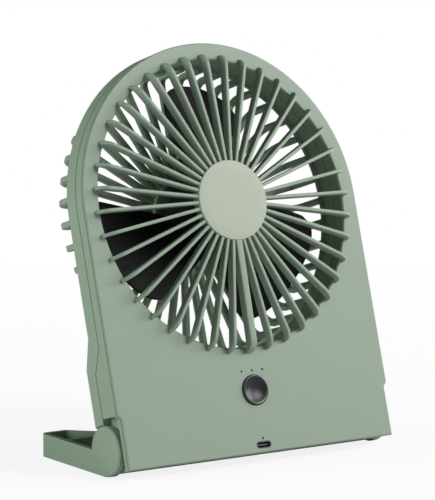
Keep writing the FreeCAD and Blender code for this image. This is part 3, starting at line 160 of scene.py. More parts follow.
class Wire:
    """A shader socket that can be used in Python expressions."""

    def __init__(self, finish, socket):
        self.finish = finish
        self.socket = socket

    def maths(self, operation, first, second):
        return self.finish.node(
            "ShaderNodeMath", {"operation": operation}, {0: first, 1: second})

    def __add__(self, other):
        return self.maths("ADD", self, other)

    def __radd__(self, other):
        return self.maths("ADD", other, self)

    def __sub__(self, other):
        return self.maths("SUBTRACT", self, other)

    def __rsub__(self, other):
        return self.maths("SUBTRACT", other, self)

    def __mul__(self, other):
        return self.maths("MULTIPLY", self, other)

    def __rmul__(self, other):
        return self.maths("MULTIPLY", other, self)

    def __pow__(self, other):
        return self.maths("POWER", self, other)

    def above(self, limit):
        return self.maths("GREATER_THAN", self, limit)

    def at_most(self, limit):
        return self.maths("MINIMUM", self, limit)


class Finish:
    """A material under construction."""

    def __init__(self, name):
        self.material = bpy.data.materials.new(name)
        self.material.use_nodes = True
        self.tree = self.material.node_tree
        self.tree.nodes.clear()
        self.output = self.tree.nodes.new("ShaderNodeOutputMaterial")

    def node(self, kind, settings=None, values=None, output=0):
        """Add a node: settings first, then a value or a link for each named socket."""
        made = self.tree.nodes.new(kind)
        for key, setting in (settings or {}).items():
            setattr(made, key, setting)
        for key, value in (values or {}).items():
            self.give(made.inputs[key], value)
        return Wire(self, made.outputs[output])

    def give(self, socket, value):
        if isinstance(value, Wire):
            self.tree.links.new(value.socket, socket)
        elif isinstance(value, (tuple, list)) and socket.type == "RGBA":
            socket.default_value = tuple(value)[:3] + (1.0,)
        else:
            socket.default_value = value

    def place(self):
        return self.node("ShaderNodeTexCoord", output="Object")

    def noise(self, per_metre, detail=3.0, roughness=0.55, stretch=None):
        where = self.place()
        if stretch is not None:
            where = self.node("ShaderNodeMapping", {}, {"Vector": where, "Scale": stretch})
        return self.node("ShaderNodeTexNoise", {}, {
            "Vector": where, "Scale": per_metre, "Detail": detail, "Roughness": roughness})

    def blend(self, share, first, second):
        """A colour between two others; the node's colour sockets share their names."""
        factor, one, other, result = 0, 6, 7, 2
        return self.node("ShaderNodeMix", {"data_type": "RGBA"}, {
            factor: share, one: first, other: second}, result)

    def bump(self, height, strength, distance):
        return self.node("ShaderNodeBump", {}, {
            "Height": height, "Strength": strength, "Distance": distance})

    def surface(self, values):
        shader = self.node("ShaderNodeBsdfPrincipled", {}, values)
        self.tree.links.new(shader.socket, self.output.inputs["Surface"])
        return self.material


def shade(colour, factor):
    """A colour made darker or lighter."""
    return tuple(min(1.0, channel * factor) for channel in colour)


def moulded_plastic(name, colour, roughness, grain, spread=0.03, shine=0.42):
    """Fine spark-eroded grain, faint flow marks, and a slightly uneven gloss."""
    finish = Finish(name)
    flow = finish.noise(per_metre=28.0, detail=2.0)
    mottle = finish.noise(per_metre=420.0)
    patches = finish.noise(per_metre=75.0, detail=4.0, roughness=0.7)
    darker, lighter = shade(colour, 1 - spread), shade(colour, 1 + spread)
    colours = finish.blend(flow * 0.6 + mottle * 0.4, darker, lighter)
    grains = finish.noise(per_metre=2600.0, detail=2.0, roughness=0.6)
    return finish.surface({
        "Base Color": colours,
        "Roughness": roughness - 0.06 + patches * 0.12,
        "Specular IOR Level": shine,
        "Normal": finish.bump(grains, grain, 0.06 * MM),
    })


def painted_edge_highlight(name, colour, roughness):
    """The same plastic on its edges: glossier where handling has polished it, and painted paler in
    patches as a painted highlight.
    """
    finish = Finish(name)
    patches = finish.noise(per_metre=160.0, detail=4.0, roughness=0.7)
    # Painted highlight: the edges are painted 2 to 22 per cent paler than the plastic, unevenly.
    colours = finish.blend(patches ** 1.4, shade(colour, 1.02), shade(colour, 1.22))
    return finish.surface({
        "Base Color": colours,
        "Roughness": roughness - 0.05 - patches * 0.12,
        "Specular IOR Level": 0.45,
    })


def turned_metal(name, colour, roughness):
    """Bare metal with fine marks from turning or drawing."""
    finish = Finish(name)
    marks = finish.noise(per_metre=900.0, detail=4.0, roughness=0.7, stretch=(1.0, 1.0, 0.08))
    tarnish = finish.noise(per_metre=120.0)
    colours = finish.blend(tarnish, shade(colour, 0.86), shade(colour, 1.06))
    return finish.surface({
        "Base Color": colours,
        "Metallic": 1.0,
        "Roughness": roughness - 0.08 + marks * 0.2,
        "Normal": finish.bump(marks, 0.25, 0.03 * MM),
    })


def rubber_finish(name, colour):
    """Dull rubber with a little dust in its grain."""
    finish = Finish(name)
    dust = finish.noise(per_metre=260.0, detail=5.0, roughness=0.7)
    grains = finish.noise(per_metre=3000.0, detail=2.0)
    return finish.surface({
        "Base Color": finish.blend(dust ** 2.0, colour, shade(colour, 2.6)),
        "Roughness": 0.78 + dust * 0.15,
        "Normal": finish.bump(grains, 0.4, 0.08 * MM),
    })


def board_finish(name):
    """Green solder mask with copper tracks showing faintly through it."""
    finish = Finish(name)
    tracks = finish.node("ShaderNodeTexVoronoi", {"feature": "DISTANCE_TO_EDGE"}, {
        "Vector": finish.place(), "Scale": 420.0})
    half_width = 0.06
    lines = 1.0 - tracks.above(half_width)
    return finish.surface({
        "Base Color": finish.blend(lines, (0.010, 0.075, 0.030), (0.030, 0.170, 0.065)),
        "Roughness": 0.32 + lines * 0.1,
        "Normal": finish.bump(lines, 0.3, 0.04 * MM),
    })


def wound_wire(name):
    """Enamelled copper wire wound side by side."""
    finish = Finish(name)
    turns = finish.node("ShaderNodeTexWave", {"bands_direction": "Z"}, {
        "Vector": finish.place(), "Scale": 1100.0, "Distortion": 0.6})
    return finish.surface({
        "Base Color": finish.blend(turns, (0.24, 0.075, 0.025), (0.62, 0.26, 0.10)),
        "Metallic": 0.8,
        "Roughness": 0.28 + turns * 0.12,
        "Normal": finish.bump(turns, 0.8, 0.2 * MM),
    })


def pale_floor(name, colour):
    """A pale floor that the camera sees nearly white, with the object's shadow kept."""
    finish = Finish(name)
    near_white, white_per_metre = 0.84, 0.22
    specks = finish.noise(per_metre=9.0)
    colours = finish.blend(specks, shade(colour, 0.985), shade(colour, 1.01))
    diffuse = finish.node("ShaderNodeBsdfDiffuse", {}, {"Color": colours, "Roughness": 0.6})
    white = finish.node("ShaderNodeEmission", {}, {"Color": (1.0, 1.0, 1.0), "Strength": 1.0})
    seen = finish.node("ShaderNodeLightPath", output="Is Camera Ray")
    away = finish.node(
        "ShaderNodeVectorMath", {"operation": "LENGTH"}, {"Vector": finish.place()}, "Value")
    share = (away * white_per_metre + near_white).at_most(1.0)
    mixed = finish.node("ShaderNodeMixShader", {}, {"Fac": seen * share, 1: diffuse, 2: white})
    finish.tree.links.new(mixed.socket, finish.output.inputs["Surface"])
    return finish.material


MADE = {}


def finishes():
    """Every finish by name, made once."""
    if MADE:
        return MADE
    colours = bpy.context.scene.fan_finish
    shell = tuple(colours.shell)
    disc = tuple(colours.disc)
    blade = tuple(colours.blade)
    button = tuple(colours.button)
    MADE.update({
        "shell": moulded_plastic("shell_green", shell, roughness=0.50, grain=0.16),
        # The shells' and foot's softened edges are painted paler than the shell: a painted
        # highlight.
        "shell_edge": painted_edge_highlight("shell_green_edge", shell, roughness=0.46),
        "disc": moulded_plastic("disc_green", disc, roughness=0.48, grain=0.10, spread=0.02),
        "blade": moulded_plastic(
            "blade_black", blade, roughness=0.48, grain=0.08, spread=0.2, shine=0.22),
        "button": moulded_plastic(
            "button_grey", button, roughness=0.34, grain=0.05, spread=0.08, shine=0.30),
        # The button's rim is painted paler than the button: a painted highlight.
        "button_rim": painted_edge_highlight("button_grey_rim", shade(button, 1.8), roughness=0.28),
        "lamp": moulded_plastic("lamp_smoke", (0.030, 0.032, 0.030), roughness=0.20, grain=0.02),
        "inner": moulded_plastic("inner_black", (0.022, 0.023, 0.022), roughness=0.5, grain=0.2),
        "wrap": moulded_plastic("cell_wrap", (0.055, 0.115, 0.300), roughness=0.28, grain=0.03),
        "nylon": moulded_plastic("washer_nylon", (0.72, 0.70, 0.62), roughness=0.45, grain=0.1),
        "steel": turned_metal("plain_steel", (0.56, 0.56, 0.57), roughness=0.34),
        "socket": turned_metal("socket_metal", (0.08, 0.08, 0.085), roughness=0.42),
        "iron": turned_metal("motor_iron", (0.20, 0.20, 0.21), roughness=0.50),
        "rubber": rubber_finish("pad_rubber", (0.018, 0.018, 0.018)),
        "board": board_finish("board_green"),
        "wire": wound_wire("coil_copper"),
    })
    return MADE


# Mesh helpers


def in_scene(name, mesh):
    piece = bpy.data.objects.new(name, mesh)
    bpy.context.scene.collection.objects.link(piece)
    return piece


def new_piece(name, mesh, body, slot, *nodes):
    """Put a finished mesh in the scene, on its body and in place of its nodes."""
    piece = in_scene(name, mesh)
    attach(piece, body)
    if nodes:
        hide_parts(*nodes)
    return piece


def smooth(mesh):
    """Smooth shading that keeps the sharper edges sharp."""
    mesh.shade_smooth()
    mesh.set_sharp_from_angle(angle=math.radians(35.0))


def mesh_of(shape, name):
    """An ordinary mesh from an editing mesh, which is freed."""
    mesh = bpy.data.meshes.new(name)
    shape.to_mesh(mesh)
    shape.free()
    return mesh


def with_finish(mesh, *materials):
    mesh.materials.clear()
    for material in materials:
        mesh.materials.append(material)
    return mesh


def evaluated(piece):
    """The mesh that a piece's modifiers give; the piece itself is removed."""
    bpy.context.view_layer.update()
    graph = bpy.context.evaluated_depsgraph_get()
    mesh = bpy.data.meshes.new_from_object(piece.evaluated_get(graph), depsgraph=graph)
    bpy.data.objects.remove(piece)
    return mesh


def open_seam(shape, gap):
    """Draw the vertices on the shells' seam back, so that a thin dark line stays open."""
    (lower, low), (upper, high) = SEAM_LOW, SEAM_HIGH
    near = 0.01 * MM
    flat = PANEL.inverted()
    for vertex in shape.verts:
        place = flat @ vertex.co
        share = min(1.0, max(0.0, (place.y - lower) / (upper - lower)))
        if abs(place.z - low - (high - low) * share) < near:
            place.z += gap
            vertex.co = PANEL @ place


def softened_copy(name, node, width, segments, gap=0.0):
    """A merged copy of a CAD node with its sharp edges softened, made glossier and painted paler
    as a painted highlight.
    """
    shape = bmesh.new()
    shape.from_mesh(frame["nodes"][node].data)
    bmesh.ops.remove_doubles(shape, verts=shape.verts, dist=0.002 * MM)
    bmesh.ops.dissolve_limit(
        shape, angle_limit=math.radians(0.6), verts=shape.verts, edges=shape.edges,
        delimit={"NORMAL"})
    if gap:
        open_seam(shape, gap)
    made = finishes()
    mesh = with_finish(mesh_of(shape, name), made["shell"], made["shell_edge"])
    piece = in_scene(name + "_raw", mesh)
    bevel = piece.modifiers.new("soft edges", "BEVEL")
    bevel.width = width
    bevel.segments = segments
    bevel.limit_method = "ANGLE"
    bevel.angle_limit = math.radians(40.0)
    # The softened edges take the second finish, painted paler as a painted highlight.
    bevel.material = 1
    bevel.use_clamp_overlap = True
    return flat_faced(name, evaluated(piece))


def flat_faced(name, mesh):
    """Smooth shading in which the broad flat faces stay flat."""
    smooth(mesh)
    piece = in_scene(name + "_shading", mesh)
    weighted = piece.modifiers.new("weighted normals", "WEIGHTED_NORMAL")
    weighted.keep_sharp = True
    weighted.weight = 80
    done = evaluated(piece)
    done.name = name
    return done


def lathe(name, profile, steps=128):
    """Turn a profile of (radius, height) pairs about Z, closed at its ends."""
    shape = bmesh.new()
    rings = []
    for radius, height in profile:
        if radius < ON_AXIS:
            rings.append([shape.verts.new((0, 0, height))])
            continue
        ring = []
        for step in range(steps):
            angle = 2 * math.pi * step / steps
            spot = (radius * math.cos(angle), radius * math.sin(angle), height)
            ring.append(shape.verts.new(spot))
        rings.append(ring)
    pairs = list(zip(rings, rings[1:]))
    if len(rings[0]) > 1 and len(rings[-1]) > 1:
        pairs.append((rings[-1], rings[0]))
    for low, high in pairs:
        for step in range(steps):
            after = (step + 1) % steps
            corners = [low[step % len(low)], low[after % len(low)],
                       high[after % len(high)], high[step % len(high)]]
            corners = list(dict.fromkeys(corners))
            if len(corners) > 2:
                shape.faces.new(corners)
    bmesh.ops.recalc_face_normals(shape, faces=shape.faces)
    mesh = mesh_of(shape, name)
    smooth(mesh)
    return mesh


def arc_points(centre, radius, start, end, steps):
    """Points of an arc, with its angles in degrees."""
    points = []
    across, up = centre
    for step in range(steps + 1):
        angle = math.radians(start + (end - start) * step / steps)
        points.append((across + radius * math.cos(angle), up + radius * math.sin(angle)))
    return points


def rounded_plate(name, outline, width, rounding, material):
    """A flat outline in XZ made into a bar of that width along Y, with rounded edges."""
    shape = bmesh.new()
    front = [shape.verts.new((across, -width / 2, up)) for across, up in outline]
    back = [shape.verts.new((across, width / 2, up)) for across, up in outline]
    count = len(outline)
    shape.faces.new(front)
    shape.faces.new(list(reversed(back)))
    for number in range(count):
        after = (number + 1) % count
        shape.faces.new([front[after], front[number], back[number], back[after]])
    bmesh.ops.recalc_face_normals(shape, faces=shape.faces)
    rims = [edge for edge in shape.edges if edge.verts[0].co.y == edge.verts[1].co.y]
    bmesh.ops.bevel(
        shape, geom=rims, offset=rounding, segments=3, profile=0.5, affect="EDGES",
        clamp_overlap=True)
    return with_finish(mesh_of(shape, name), material)


def round_array_tree():
    """Geometry nodes that set copies of a piece evenly about the Z axis."""
    tree = bpy.data.node_groups.get("Round array")
    if tree is not None:
        return tree
    tree = bpy.data.node_groups.new("Round array", "GeometryNodeTree")
    face = tree.interface
    face.new_socket("Geometry", in_out="INPUT", socket_type="NodeSocketGeometry")
    count = face.new_socket("Copies", in_out="INPUT", socket_type="NodeSocketInt")
    count.description = "How many copies stand round the axis"
    start = face.new_socket("Start angle", in_out="INPUT", socket_type="NodeSocketFloat")
    start.subtype = "ANGLE"
    start.description = "Turn of the first copy"
    face.new_socket("Finish", in_out="INPUT", socket_type="NodeSocketMaterial")
    face.new_socket("Geometry", in_out="OUTPUT", socket_type="NodeSocketGeometry")
    add = tree.nodes.new
    link = tree.links.new
    given = add("NodeGroupInput")
    result = add("NodeGroupOutput")
    points = add("GeometryNodePoints")
    index = add("GeometryNodeInputIndex")
    share = add("ShaderNodeMath")
    share.operation = "DIVIDE"
    turn = add("ShaderNodeMath")
    turn.operation = "MULTIPLY_ADD"
    turn.inputs[1].default_value = 2 * math.pi
    spin = add("ShaderNodeCombineXYZ")
    copies = add("GeometryNodeInstanceOnPoints")
    real = add("GeometryNodeRealizeInstances")
    finish = add("GeometryNodeSetMaterial")
    link(given.outputs["Copies"], points.inputs["Count"])
    link(index.outputs[0], share.inputs[0])
    link(given.outputs["Copies"], share.inputs[1])
    link(share.outputs[0], turn.inputs[0])
    link(given.outputs["Start angle"], turn.inputs[2])
    link(turn.outputs[0], spin.inputs["Z"])
    link(points.outputs[0], copies.inputs["Points"])
    link(given.outputs["Geometry"], copies.inputs["Instance"])
    link(spin.outputs[0], copies.inputs["Rotation"])
    link(copies.outputs[0], real.inputs[0])
    link(real.outputs[0], finish.inputs["Geometry"])
    link(given.outputs["Finish"], finish.inputs["Material"])
    link(finish.outputs[0], result.inputs[0])
    return tree


def round_array(mesh, copies, start, material):
    """Run the round array on a mesh and give back the plain result."""
    tree = round_array_tree()
    piece = in_scene(mesh.name + "_array", mesh)
    sockets = {item.name: item.identifier for item in tree.interface.items_tree
               if item.in_out == "INPUT"}
    nodes = piece.modifiers.new("Round array", "NODES")
    nodes.node_group = tree
    nodes[sockets["Copies"]] = copies
    nodes[sockets["Start angle"]] = start
    nodes[sockets["Finish"]] = material
    return evaluated(piece)


def joined(name, meshes, place):
    """One mesh from several, moved into place."""
    shape = bmesh.new()
    materials = []
    for mesh in meshes:
        first = len(shape.faces)
        shape.from_mesh(mesh)
        shape.faces.ensure_lookup_table()
        slots = list(mesh.materials)
        for material in slots:
            if material not in materials:
                materials.append(material)
        for face in shape.faces[first:]:
            face.material_index = materials.index(slots[face.material_index])
    mesh = with_finish(mesh_of(shape, name), *materials)
    mesh.transform(place)
    smooth(mesh)
    return mesh


# Pieces


class FAN_OT_shells(bpy.types.Operator):
    """Front and rear shells with softened edges and moulded grain"""

    bl_idname = "fan.shells"
    bl_label = "Shells"

    def execute(self, context):
        sizes = context.scene.fan_sizes
        for name, node, gap in (
            ("front_shell", "front_housing", sizes.seam_gap / 2),
            ("rear_shell", "rear_cover", -sizes.seam_gap / 2),
        ):
            mesh = softened_copy(name, node, sizes.shell_edge, segments=2, gap=gap)
            new_piece(name, mesh, "head", "shell_green", node)
        return {"FINISHED"}


def front_rib_outline(depth):
    """Front rib from the side: its foot on the face, its bend and its run to the hub."""
    reach = 78.8 * MM
    bend = 6.5 * MM
    inner = reach - 2.3 * MM
    small = 1.2 * MM
    hub = 20.6 * MM
    hub_top = depth + 8.0 * MM
    hub_under = depth + 3.4 * MM
    foot = depth - 0.4 * MM
    outer_bend = arc_points((reach - bend, depth), bend, 0, 90, 10)
    inner_bend = arc_points((inner - small, depth), small, 90, 0, 6)
    points = [(reach, foot)] + outer_bend + [(hub, hub_top), (hub, hub_under)]
    return points + inner_bend + [(inner, foot)]


class FAN_OT_front_grille(bpy.types.Operator):
    """Front ribs, their hub and the broad rib that hides the leads"""

    bl_idname = "fan.front_grille"
    bl_label = "Front grille"

    def execute(self, context):
        sizes = context.scene.fan_sizes
        shell = finishes()["shell"]
        depth = sizes.panel_depth
        outline = front_rib_outline(depth)
        rib = rounded_plate("front_rib", outline, sizes.front_rib_width, sizes.rib_rounding, shell)
        ribs = round_array(rib, sizes.rib_count, 0.0, shell)
        broad = rounded_plate("lead_rib", outline, sizes.lead_rib_width, sizes.rib_rounding, shell)
        clear = 0.06 * MM       # its faces stay off those of the narrow rib inside it
        downward = Matrix.Rotation(-math.pi / 2, 4, "Z")
        broad.transform(Matrix.Translation((0, 0, clear)) @ downward)
        low = depth + 3.2 * MM
        high = depth + 6.4 * MM
        edge = 0.4 * MM
        radius = 21.3 * MM
        hub = lathe("front_hub", [
            (0, low), (radius - edge, low), (radius, low + edge), (radius, high - edge),
            (radius - edge, high), (0, high)])
        mesh = joined("front_ribs", [ribs, broad, with_finish(hub, shell)], FAN)
        new_piece("front_ribs", mesh, "head", "shell_green", "front_grille")
        return {"FINISHED"}


class FAN_OT_disc(bpy.types.Operator):
    """Flat centre disc with a fine rounded rim"""

    bl_idname = "fan.disc"
    bl_label = "Centre disc"

    def execute(self, context):
        sizes = context.scene.fan_sizes
        edge = sizes.disc_edge
        radius = sizes.disc_radius
        top = sizes.panel_depth + 8.5 * MM
        low = top - 2.0 * MM
        rim = arc_points((radius - edge, top - edge), edge, 0, 90, 5)
        profile = [(0, low), (radius - edge, low), (radius, low + edge)] + rim
        profile += [(radius * 0.7, top), (radius * 0.35, top), (0, top)]
        mesh = with_finish(lathe("disc_cap", profile, steps=160), finishes()["disc"])
        mesh.transform(FAN)
        new_piece("disc_cap", mesh, "head", "disc_green", "centre_disc")
        return {"FINISHED"}


def rear_rib_outline():
    """Rear rib from the side: straight back from the ring, a bend, and in to the hub."""
    outer = 77.4 * MM
    bend = 6.5 * MM
    deep = 3.6 * MM
    back = CAGE_BACK
    centre = (outer - bend, back + bend)
    hub = 19.0 * MM
    start = -0.9 * MM
    inner_bend = arc_points(centre, bend - deep, 0, -90, 8)
    outer_bend = arc_points(centre, bend, -90, 0, 12)
    points = [(outer, start), (outer - deep, start)] + inner_bend
    return points + [(hub, back + deep), (hub, back)] + outer_bend


def rounded_ring(name, inner, outer, low, high, edge):
    """A ring with rounded corners about the fan's axis."""
    profile = []
    for centre, start in (
        ((outer - edge, low + edge), -90), ((outer - edge, high - edge), 0),
        ((inner + edge, high - edge), 90), ((inner + edge, low + edge), 180),
    ):
        profile += arc_points(centre, edge, start, start + 90, 3)
    return lathe(name, profile, steps=160)


class FAN_OT_rear_grille(bpy.types.Operator):
    """Rear cage: ribs, base ring and hub"""

    bl_idname = "fan.rear_grille"
    bl_label = "Rear grille"

    def execute(self, context):
        sizes = context.scene.fan_sizes
        shell = finishes()["shell"]
        rounding = sizes.rib_rounding * 1.5
        rib = rounded_plate(
            "rear_rib", rear_rib_outline(), sizes.rear_rib_width, rounding, shell)
        ribs = round_array(rib, sizes.rib_count, 0.0, shell)
        ring = rounded_ring(
            "cage_ring", inner=74.6 * MM, outer=79.0 * MM, low=-1.8 * MM, high=0.0, edge=0.4 * MM)
        back = CAGE_BACK
        rim = 20.0 * MM
        edge = 0.8 * MM
        corner = edge * 0.3
        inner = rim - 2.0 * MM
        floor = back + 2.0 * MM
        top = back + 6.2 * MM
        hub = lathe("cage_hub", [
            (0, back), (rim - edge, back), (rim - corner, back + corner), (rim, back + edge),
            (rim, top), (inner, top), (inner, floor), (0, floor)])
        parts = [ribs, with_finish(ring, shell), with_finish(hub, shell)]
        mesh = joined("rear_ribs", parts, FAN)
        new_piece("rear_ribs", mesh, "head", "shell_green", "rear_grille")
        return {"FINISHED"}


def blade_mesh(sizes, material):
    """One broad pitched blade with a swept front edge, rounded corners and a slight hollow."""
    across = 32
    outward = 18
    root_radius = 16.0 * MM
    front = 7.0 * MM
    back = -15.5 * MM
    hollow = 0.8 * MM
    drawn_in, gently = 0.05, 4      # how far, and how late, the tip draws in to its two edges
    cut_off, suddenly = 0.10, 14    # the same for its rounded corners
    shape = bmesh.new()
    rows = []
    for step in range(across + 1):
        share = step / across
        turn = sizes.blade_turn - sizes.blade_sweep * share
        past = sizes.blade_front_past + (sizes.blade_rear_past - sizes.blade_front_past) * share
        edge = abs(2 * share - 1)
        reach = sizes.blade_radius * (1 - drawn_in * edge ** gently - cut_off * edge ** suddenly)
        start = math.sqrt(root_radius ** 2 - past ** 2)
        tip = math.sqrt(reach ** 2 - past ** 2)
        along = Vector((math.cos(turn), math.sin(turn), 0))
        beside = Vector((-math.sin(turn), math.cos(turn), 0)) * past
        row = []
        for number in range(outward + 1):
            dip = hollow * math.sin(math.pi * share) * (number / outward)
            height = front + (back - front) * share - dip
            spot = beside + along * (start + (tip - start) * number / outward)
            row.append(shape.verts.new((spot.x, spot.y, height)))
        rows.append(row)
    for low, high in zip(rows, rows[1:]):
        for number in range(outward):
            shape.faces.new([low[number], low[number + 1], high[number + 1], high[number]])
    bmesh.ops.recalc_face_normals(shape, faces=shape.faces)
    piece = in_scene("blade_raw", with_finish(mesh_of(shape, "blade"), material))
    wall = piece.modifiers.new("thickness", "SOLIDIFY")
    wall.thickness = 1.4 * MM
    wall.offset = 0.0
    soft = piece.modifiers.new("soft edges", "BEVEL")
    soft.width = 0.5 * MM
    soft.segments = 3
    soft.limit_method = "ANGLE"
    soft.angle_limit = math.radians(50)
    return evaluated(piece)


class FAN_OT_impeller(bpy.types.Operator):
    """Black impeller: three broad blades on a cup"""

    bl_idname = "fan.impeller"
    bl_label = "Impeller"

    def execute(self, context):
        sizes = context.scene.fan_sizes
        black = finishes()["blade"]
        blades = round_array(blade_mesh(sizes, black), sizes.blade_count, 0.0, black)
        outer = 16.9 * MM
        inner = 15.1 * MM
        front = 16.7 * MM
        back = -12.3 * MM
        edge = 0.8 * MM
        bore = 1.53 * MM
        boss = 4.0 * MM
        web = 3.1 * MM
        web_back = web - 1.8 * MM
        boss_back = web - 9.8 * MM
        cup = lathe("impeller_cup", [
            (bore, boss_back), (boss, boss_back), (boss, web_back), (inner, web_back),
            (inner, back), (outer - edge, back), (outer, back + edge), (outer, front - edge),
            (outer - edge, front), (inner, front), (inner, web), (bore, web)], steps=96)
        mesh = joined("impeller_blades", [blades, with_finish(cup, black)], FAN)
        new_piece("impeller_blades", mesh, "rotor", "blade_black", "impeller")
        return {"FINISHED"}


class FAN_OT_button(bpy.types.Operator):
    """Power button with a hollow face and a glossier rim painted paler as a painted highlight"""

    bl_idname = "fan.button"
    bl_label = "Power button"

    def execute(self, context):
        sizes = context.scene.fan_sizes
        radius = sizes.button_radius
        front = sizes.panel_depth + 1.0 * MM
        rim = radius - 1.0 * MM
        edge = 0.35 * MM
        depth = sizes.dish_depth
        bowl = (rim * rim + depth * depth) / (2 * depth)
        back = front - 4.0 * MM
        stem = 2.2 * MM
        flange = radius + 1.3 * MM
        flange_back = back + 0.9 * MM
        flange_front = back + 1.9 * MM
        profile = [(0, back), (stem, back), (stem, flange_back), (flange, flange_back)]
        profile += [(flange, flange_front), (radius, flange_front)]
        profile += arc_points((radius - edge, front - edge), edge, 0, 90, 4)
        steps = 12
        dish = []
        for step in range(steps + 1):
            place = rim * (1 - step / steps)
            height = front - depth + bowl - math.sqrt(bowl * bowl - place * place)
            dish.append((place, height))
        made = finishes()
        mesh = lathe("button_cap", profile + dish, steps=96)
        with_finish(mesh, made["button"], made["button_rim"])
        # Faces of the rim near the front take the second finish, painted paler as a painted
        # highlight.
        highlight_level = front - 0.2 * MM
        for face in mesh.polygons:
            away = math.hypot(face.center.x, face.center.y)
            if away > rim and face.center.z > highlight_level:
                face.material_index = 1
        mesh.transform(PANEL @ Matrix.Translation((0, BUTTON_HEIGHT, 0)))
        new_piece("button_cap", mesh, "button", "button_grey", "power_button")
        return {"FINISHED"}


def hinge_plug(name, side, soft, material):
    """A flush cap whose rim fills the softened edge of its seat, so that no ring shows."""
    seat = 8.1 * MM
    knuckle_face = 85.0 * MM
    face = knuckle_face - 0.01 * MM
    back = knuckle_face - 0.75 * MM
    mesh = lathe(name, [
        (0, back), (seat - 0.1 * MM, back), (seat - 0.02 * MM, knuckle_face - soft),
        (seat + soft - 0.03 * MM, face), (0, face)], steps=96)
    mesh.transform(Matrix.Translation(HINGE) @ Matrix.Rotation(side * math.pi / 2, 4, "Y"))
    return with_finish(mesh, material)


class FAN_OT_foot(bpy.types.Operator):
    """Folding foot with softened edges, and its flush hinge caps"""

    bl_idname = "fan.foot"
    bl_label = "Foot"

    def execute(self, context):
        soft = context.scene.fan_sizes.foot_edge
        mesh = softened_copy("foot_moulding", "foot_frame", soft, segments=3)
        new_piece("foot_moulding", mesh, "foot", "shell_green", "foot_frame")
        for side, hand in ((-1, "left"), (1, "right")):
            name = "hinge_plug_" + hand
            mesh = hinge_plug(name, side, soft, finishes()["shell"])
            new_piece(name, mesh, "foot", "shell_green", "hinge_cap_" + hand)
        return {"FINISHED"}


NODE_FINISHES = {
    "steel": ("rotor_yoke", "motor_shaft", "bearing_front", "bearing_rear", "housing_screws",
              "board_screws", "motor_screws", "hinge_pin_left", "hinge_pin_right",
              "hinge_nut_left", "hinge_nut_right"),
    "iron": ("stator_core", "rotor_magnet"),
    "socket": ("usb_socket",),
    "wire": ("stator_coils",),
    "board": ("control_board",),
    "wrap": ("battery_cell_left", "battery_cell_right"),
    "nylon": ("hinge_washer_left", "hinge_washer_right"),
    "inner": ("motor_base", "tact_switch"),
    "lamp": ("light_pipes",),
    "rubber": ("foot_pads",),
}


class FAN_OT_inner_pieces(bpy.types.Operator):
    """Finishes for the pieces that keep their CAD shape"""

    bl_idname = "fan.inner_pieces"
    bl_label = "Inner pieces"

    def execute(self, context):
        made = finishes()
        for finish, names in NODE_FINISHES.items():
            for name in names:
                with_finish(frame["nodes"][name].data, made[finish])
        return {"FINISHED"}


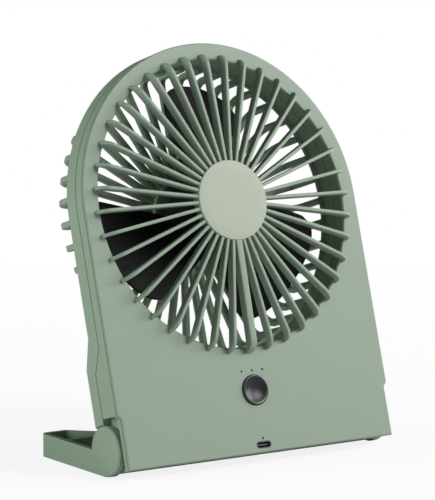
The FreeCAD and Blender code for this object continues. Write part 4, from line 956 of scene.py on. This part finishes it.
class FAN_OT_stage(bpy.types.Operator):
    """Pale floor, soft lights, plain world and the camera"""

    bl_idname = "fan.stage"
    bl_label = "Stage"

    def execute(self, context):
        scene = context.scene
        scene.view_settings.view_transform = "Standard"
        self.add_floor(scene)
        self.add_world(scene)
        plain = (1.0, 1.0, 1.0)
        greenish = (0.91, 1.0, 0.92)
        for name, place, size, power, colour in (
            ("key_light", (0.95, -1.45, 1.25), 0.8, 27.0, plain),
            ("right_light", (1.60, -0.60, 0.70), 0.8, 18.0, plain),
            ("left_light", (-1.80, -0.10, 0.30), 0.8, 9.0, greenish),
            ("rear_light", (-1.60, 0.55, 0.75), 0.9, 14.0, greenish),
        ):
            self.add_light(scene, name, Vector(place), size, power, colour)
        self.add_camera(scene)
        return {"FINISHED"}

    def add_floor(self, scene):
        shape = bmesh.new()
        bmesh.ops.create_grid(shape, x_segments=8, y_segments=8, size=20.0)
        finish = pale_floor("floor_pale", tuple(scene.fan_finish.floor))
        in_scene("floor", with_finish(mesh_of(shape, "floor"), finish))

    def add_world(self, scene):
        """White to the camera, and nearly dark to everything else."""
        world = bpy.data.worlds.new("studio")
        world.use_nodes = True
        tree = world.node_tree
        tree.nodes.clear()
        path = tree.nodes.new("ShaderNodeLightPath")
        seen = tree.nodes.new("ShaderNodeMath")
        seen.operation = "MAXIMUM"
        mix = tree.nodes.new("ShaderNodeMixShader")
        output = tree.nodes.new("ShaderNodeOutputWorld")
        tree.links.new(path.outputs["Is Camera Ray"], seen.inputs[0])
        tree.links.new(path.outputs["Is Transmission Ray"], seen.inputs[1])
        tree.links.new(seen.outputs[0], mix.inputs["Fac"])
        for number, strength in ((1, 0.02), (2, 1.0)):
            light = tree.nodes.new("ShaderNodeBackground")
            light.inputs["Color"].default_value = (1, 1, 1, 1)
            light.inputs["Strength"].default_value = strength
            tree.links.new(light.outputs[0], mix.inputs[number])
        tree.links.new(mix.outputs[0], output.inputs["Surface"])
        scene.world = world

    def add_light(self, scene, name, place, size, power, colour):
        lamp = bpy.data.lights.new(name, "AREA")
        lamp.color = colour
        lamp.shape = "SQUARE"
        lamp.size = size
        lamp.energy = power
        light = bpy.data.objects.new(name, lamp)
        aim = LIGHTS_AIM - place
        light.location = place
        light.rotation_euler = aim.to_track_quat("-Z", "Y").to_euler()
        scene.collection.objects.link(light)

    def add_camera(self, scene):
        """The photograph's camera, fitted to the panel's outline."""
        data = bpy.data.cameras.new("camera")
        data.sensor_fit = "VERTICAL"
        data.sensor_height = 36.0
        data.lens = CAMERA_LENS
        data.clip_end = 100.0
        ahead = CAMERA_AHEAD
        level_right = ahead.cross(Vector((0, 0, 1))).normalized()
        level_up = level_right.cross(ahead)
        up = level_up * math.cos(CAMERA_ROLL) - level_right * math.sin(CAMERA_ROLL)
        right = ahead.cross(up)
        basis = Matrix((right, up, -ahead)).transposed().to_4x4()
        camera = bpy.data.objects.new("camera", data)
        camera.matrix_world = Matrix.Translation(CAMERA_PLACE) @ basis
        scene.collection.objects.link(camera)
        scene.camera = camera


class FAN_PT_panel(bpy.types.Panel):
    """Lists the fan's pieces in the sidebar"""

    bl_idname = "FAN_PT_panel"
    bl_label = "Camping fan"
    bl_space_type = "VIEW_3D"
    bl_region_type = "UI"
    bl_category = "Fan"

    def draw(self, context):
        for group in (context.scene.fan_sizes, context.scene.fan_finish):
            column = self.layout.column()
            for name in group.__annotations__:
                column.prop(group, name)
        for piece in PIECES:
            self.layout.operator(piece.bl_idname)


PIECES = (
    FAN_OT_shells,
    FAN_OT_front_grille,
    FAN_OT_disc,
    FAN_OT_rear_grille,
    FAN_OT_impeller,
    FAN_OT_button,
    FAN_OT_foot,
    FAN_OT_inner_pieces,
    FAN_OT_stage,
)
CLASSES = (FanSizes, FanFinish) + PIECES + (FAN_PT_panel,)


def register():
    for kind in CLASSES:
        bpy.utils.register_class(kind)
    bpy.types.Scene.fan_sizes = bpy.props.PointerProperty(type=FanSizes)
    bpy.types.Scene.fan_finish = bpy.props.PointerProperty(type=FanFinish)


def unregister():
    del bpy.types.Scene.fan_finish
    del bpy.types.Scene.fan_sizes
    for kind in reversed(CLASSES):
        bpy.utils.unregister_class(kind)


def main():
    register()
    for piece in PIECES:
        group, name = piece.bl_idname.split(".")
        getattr(getattr(bpy.ops, group), name)()


if __name__ == "__main__":
    main()
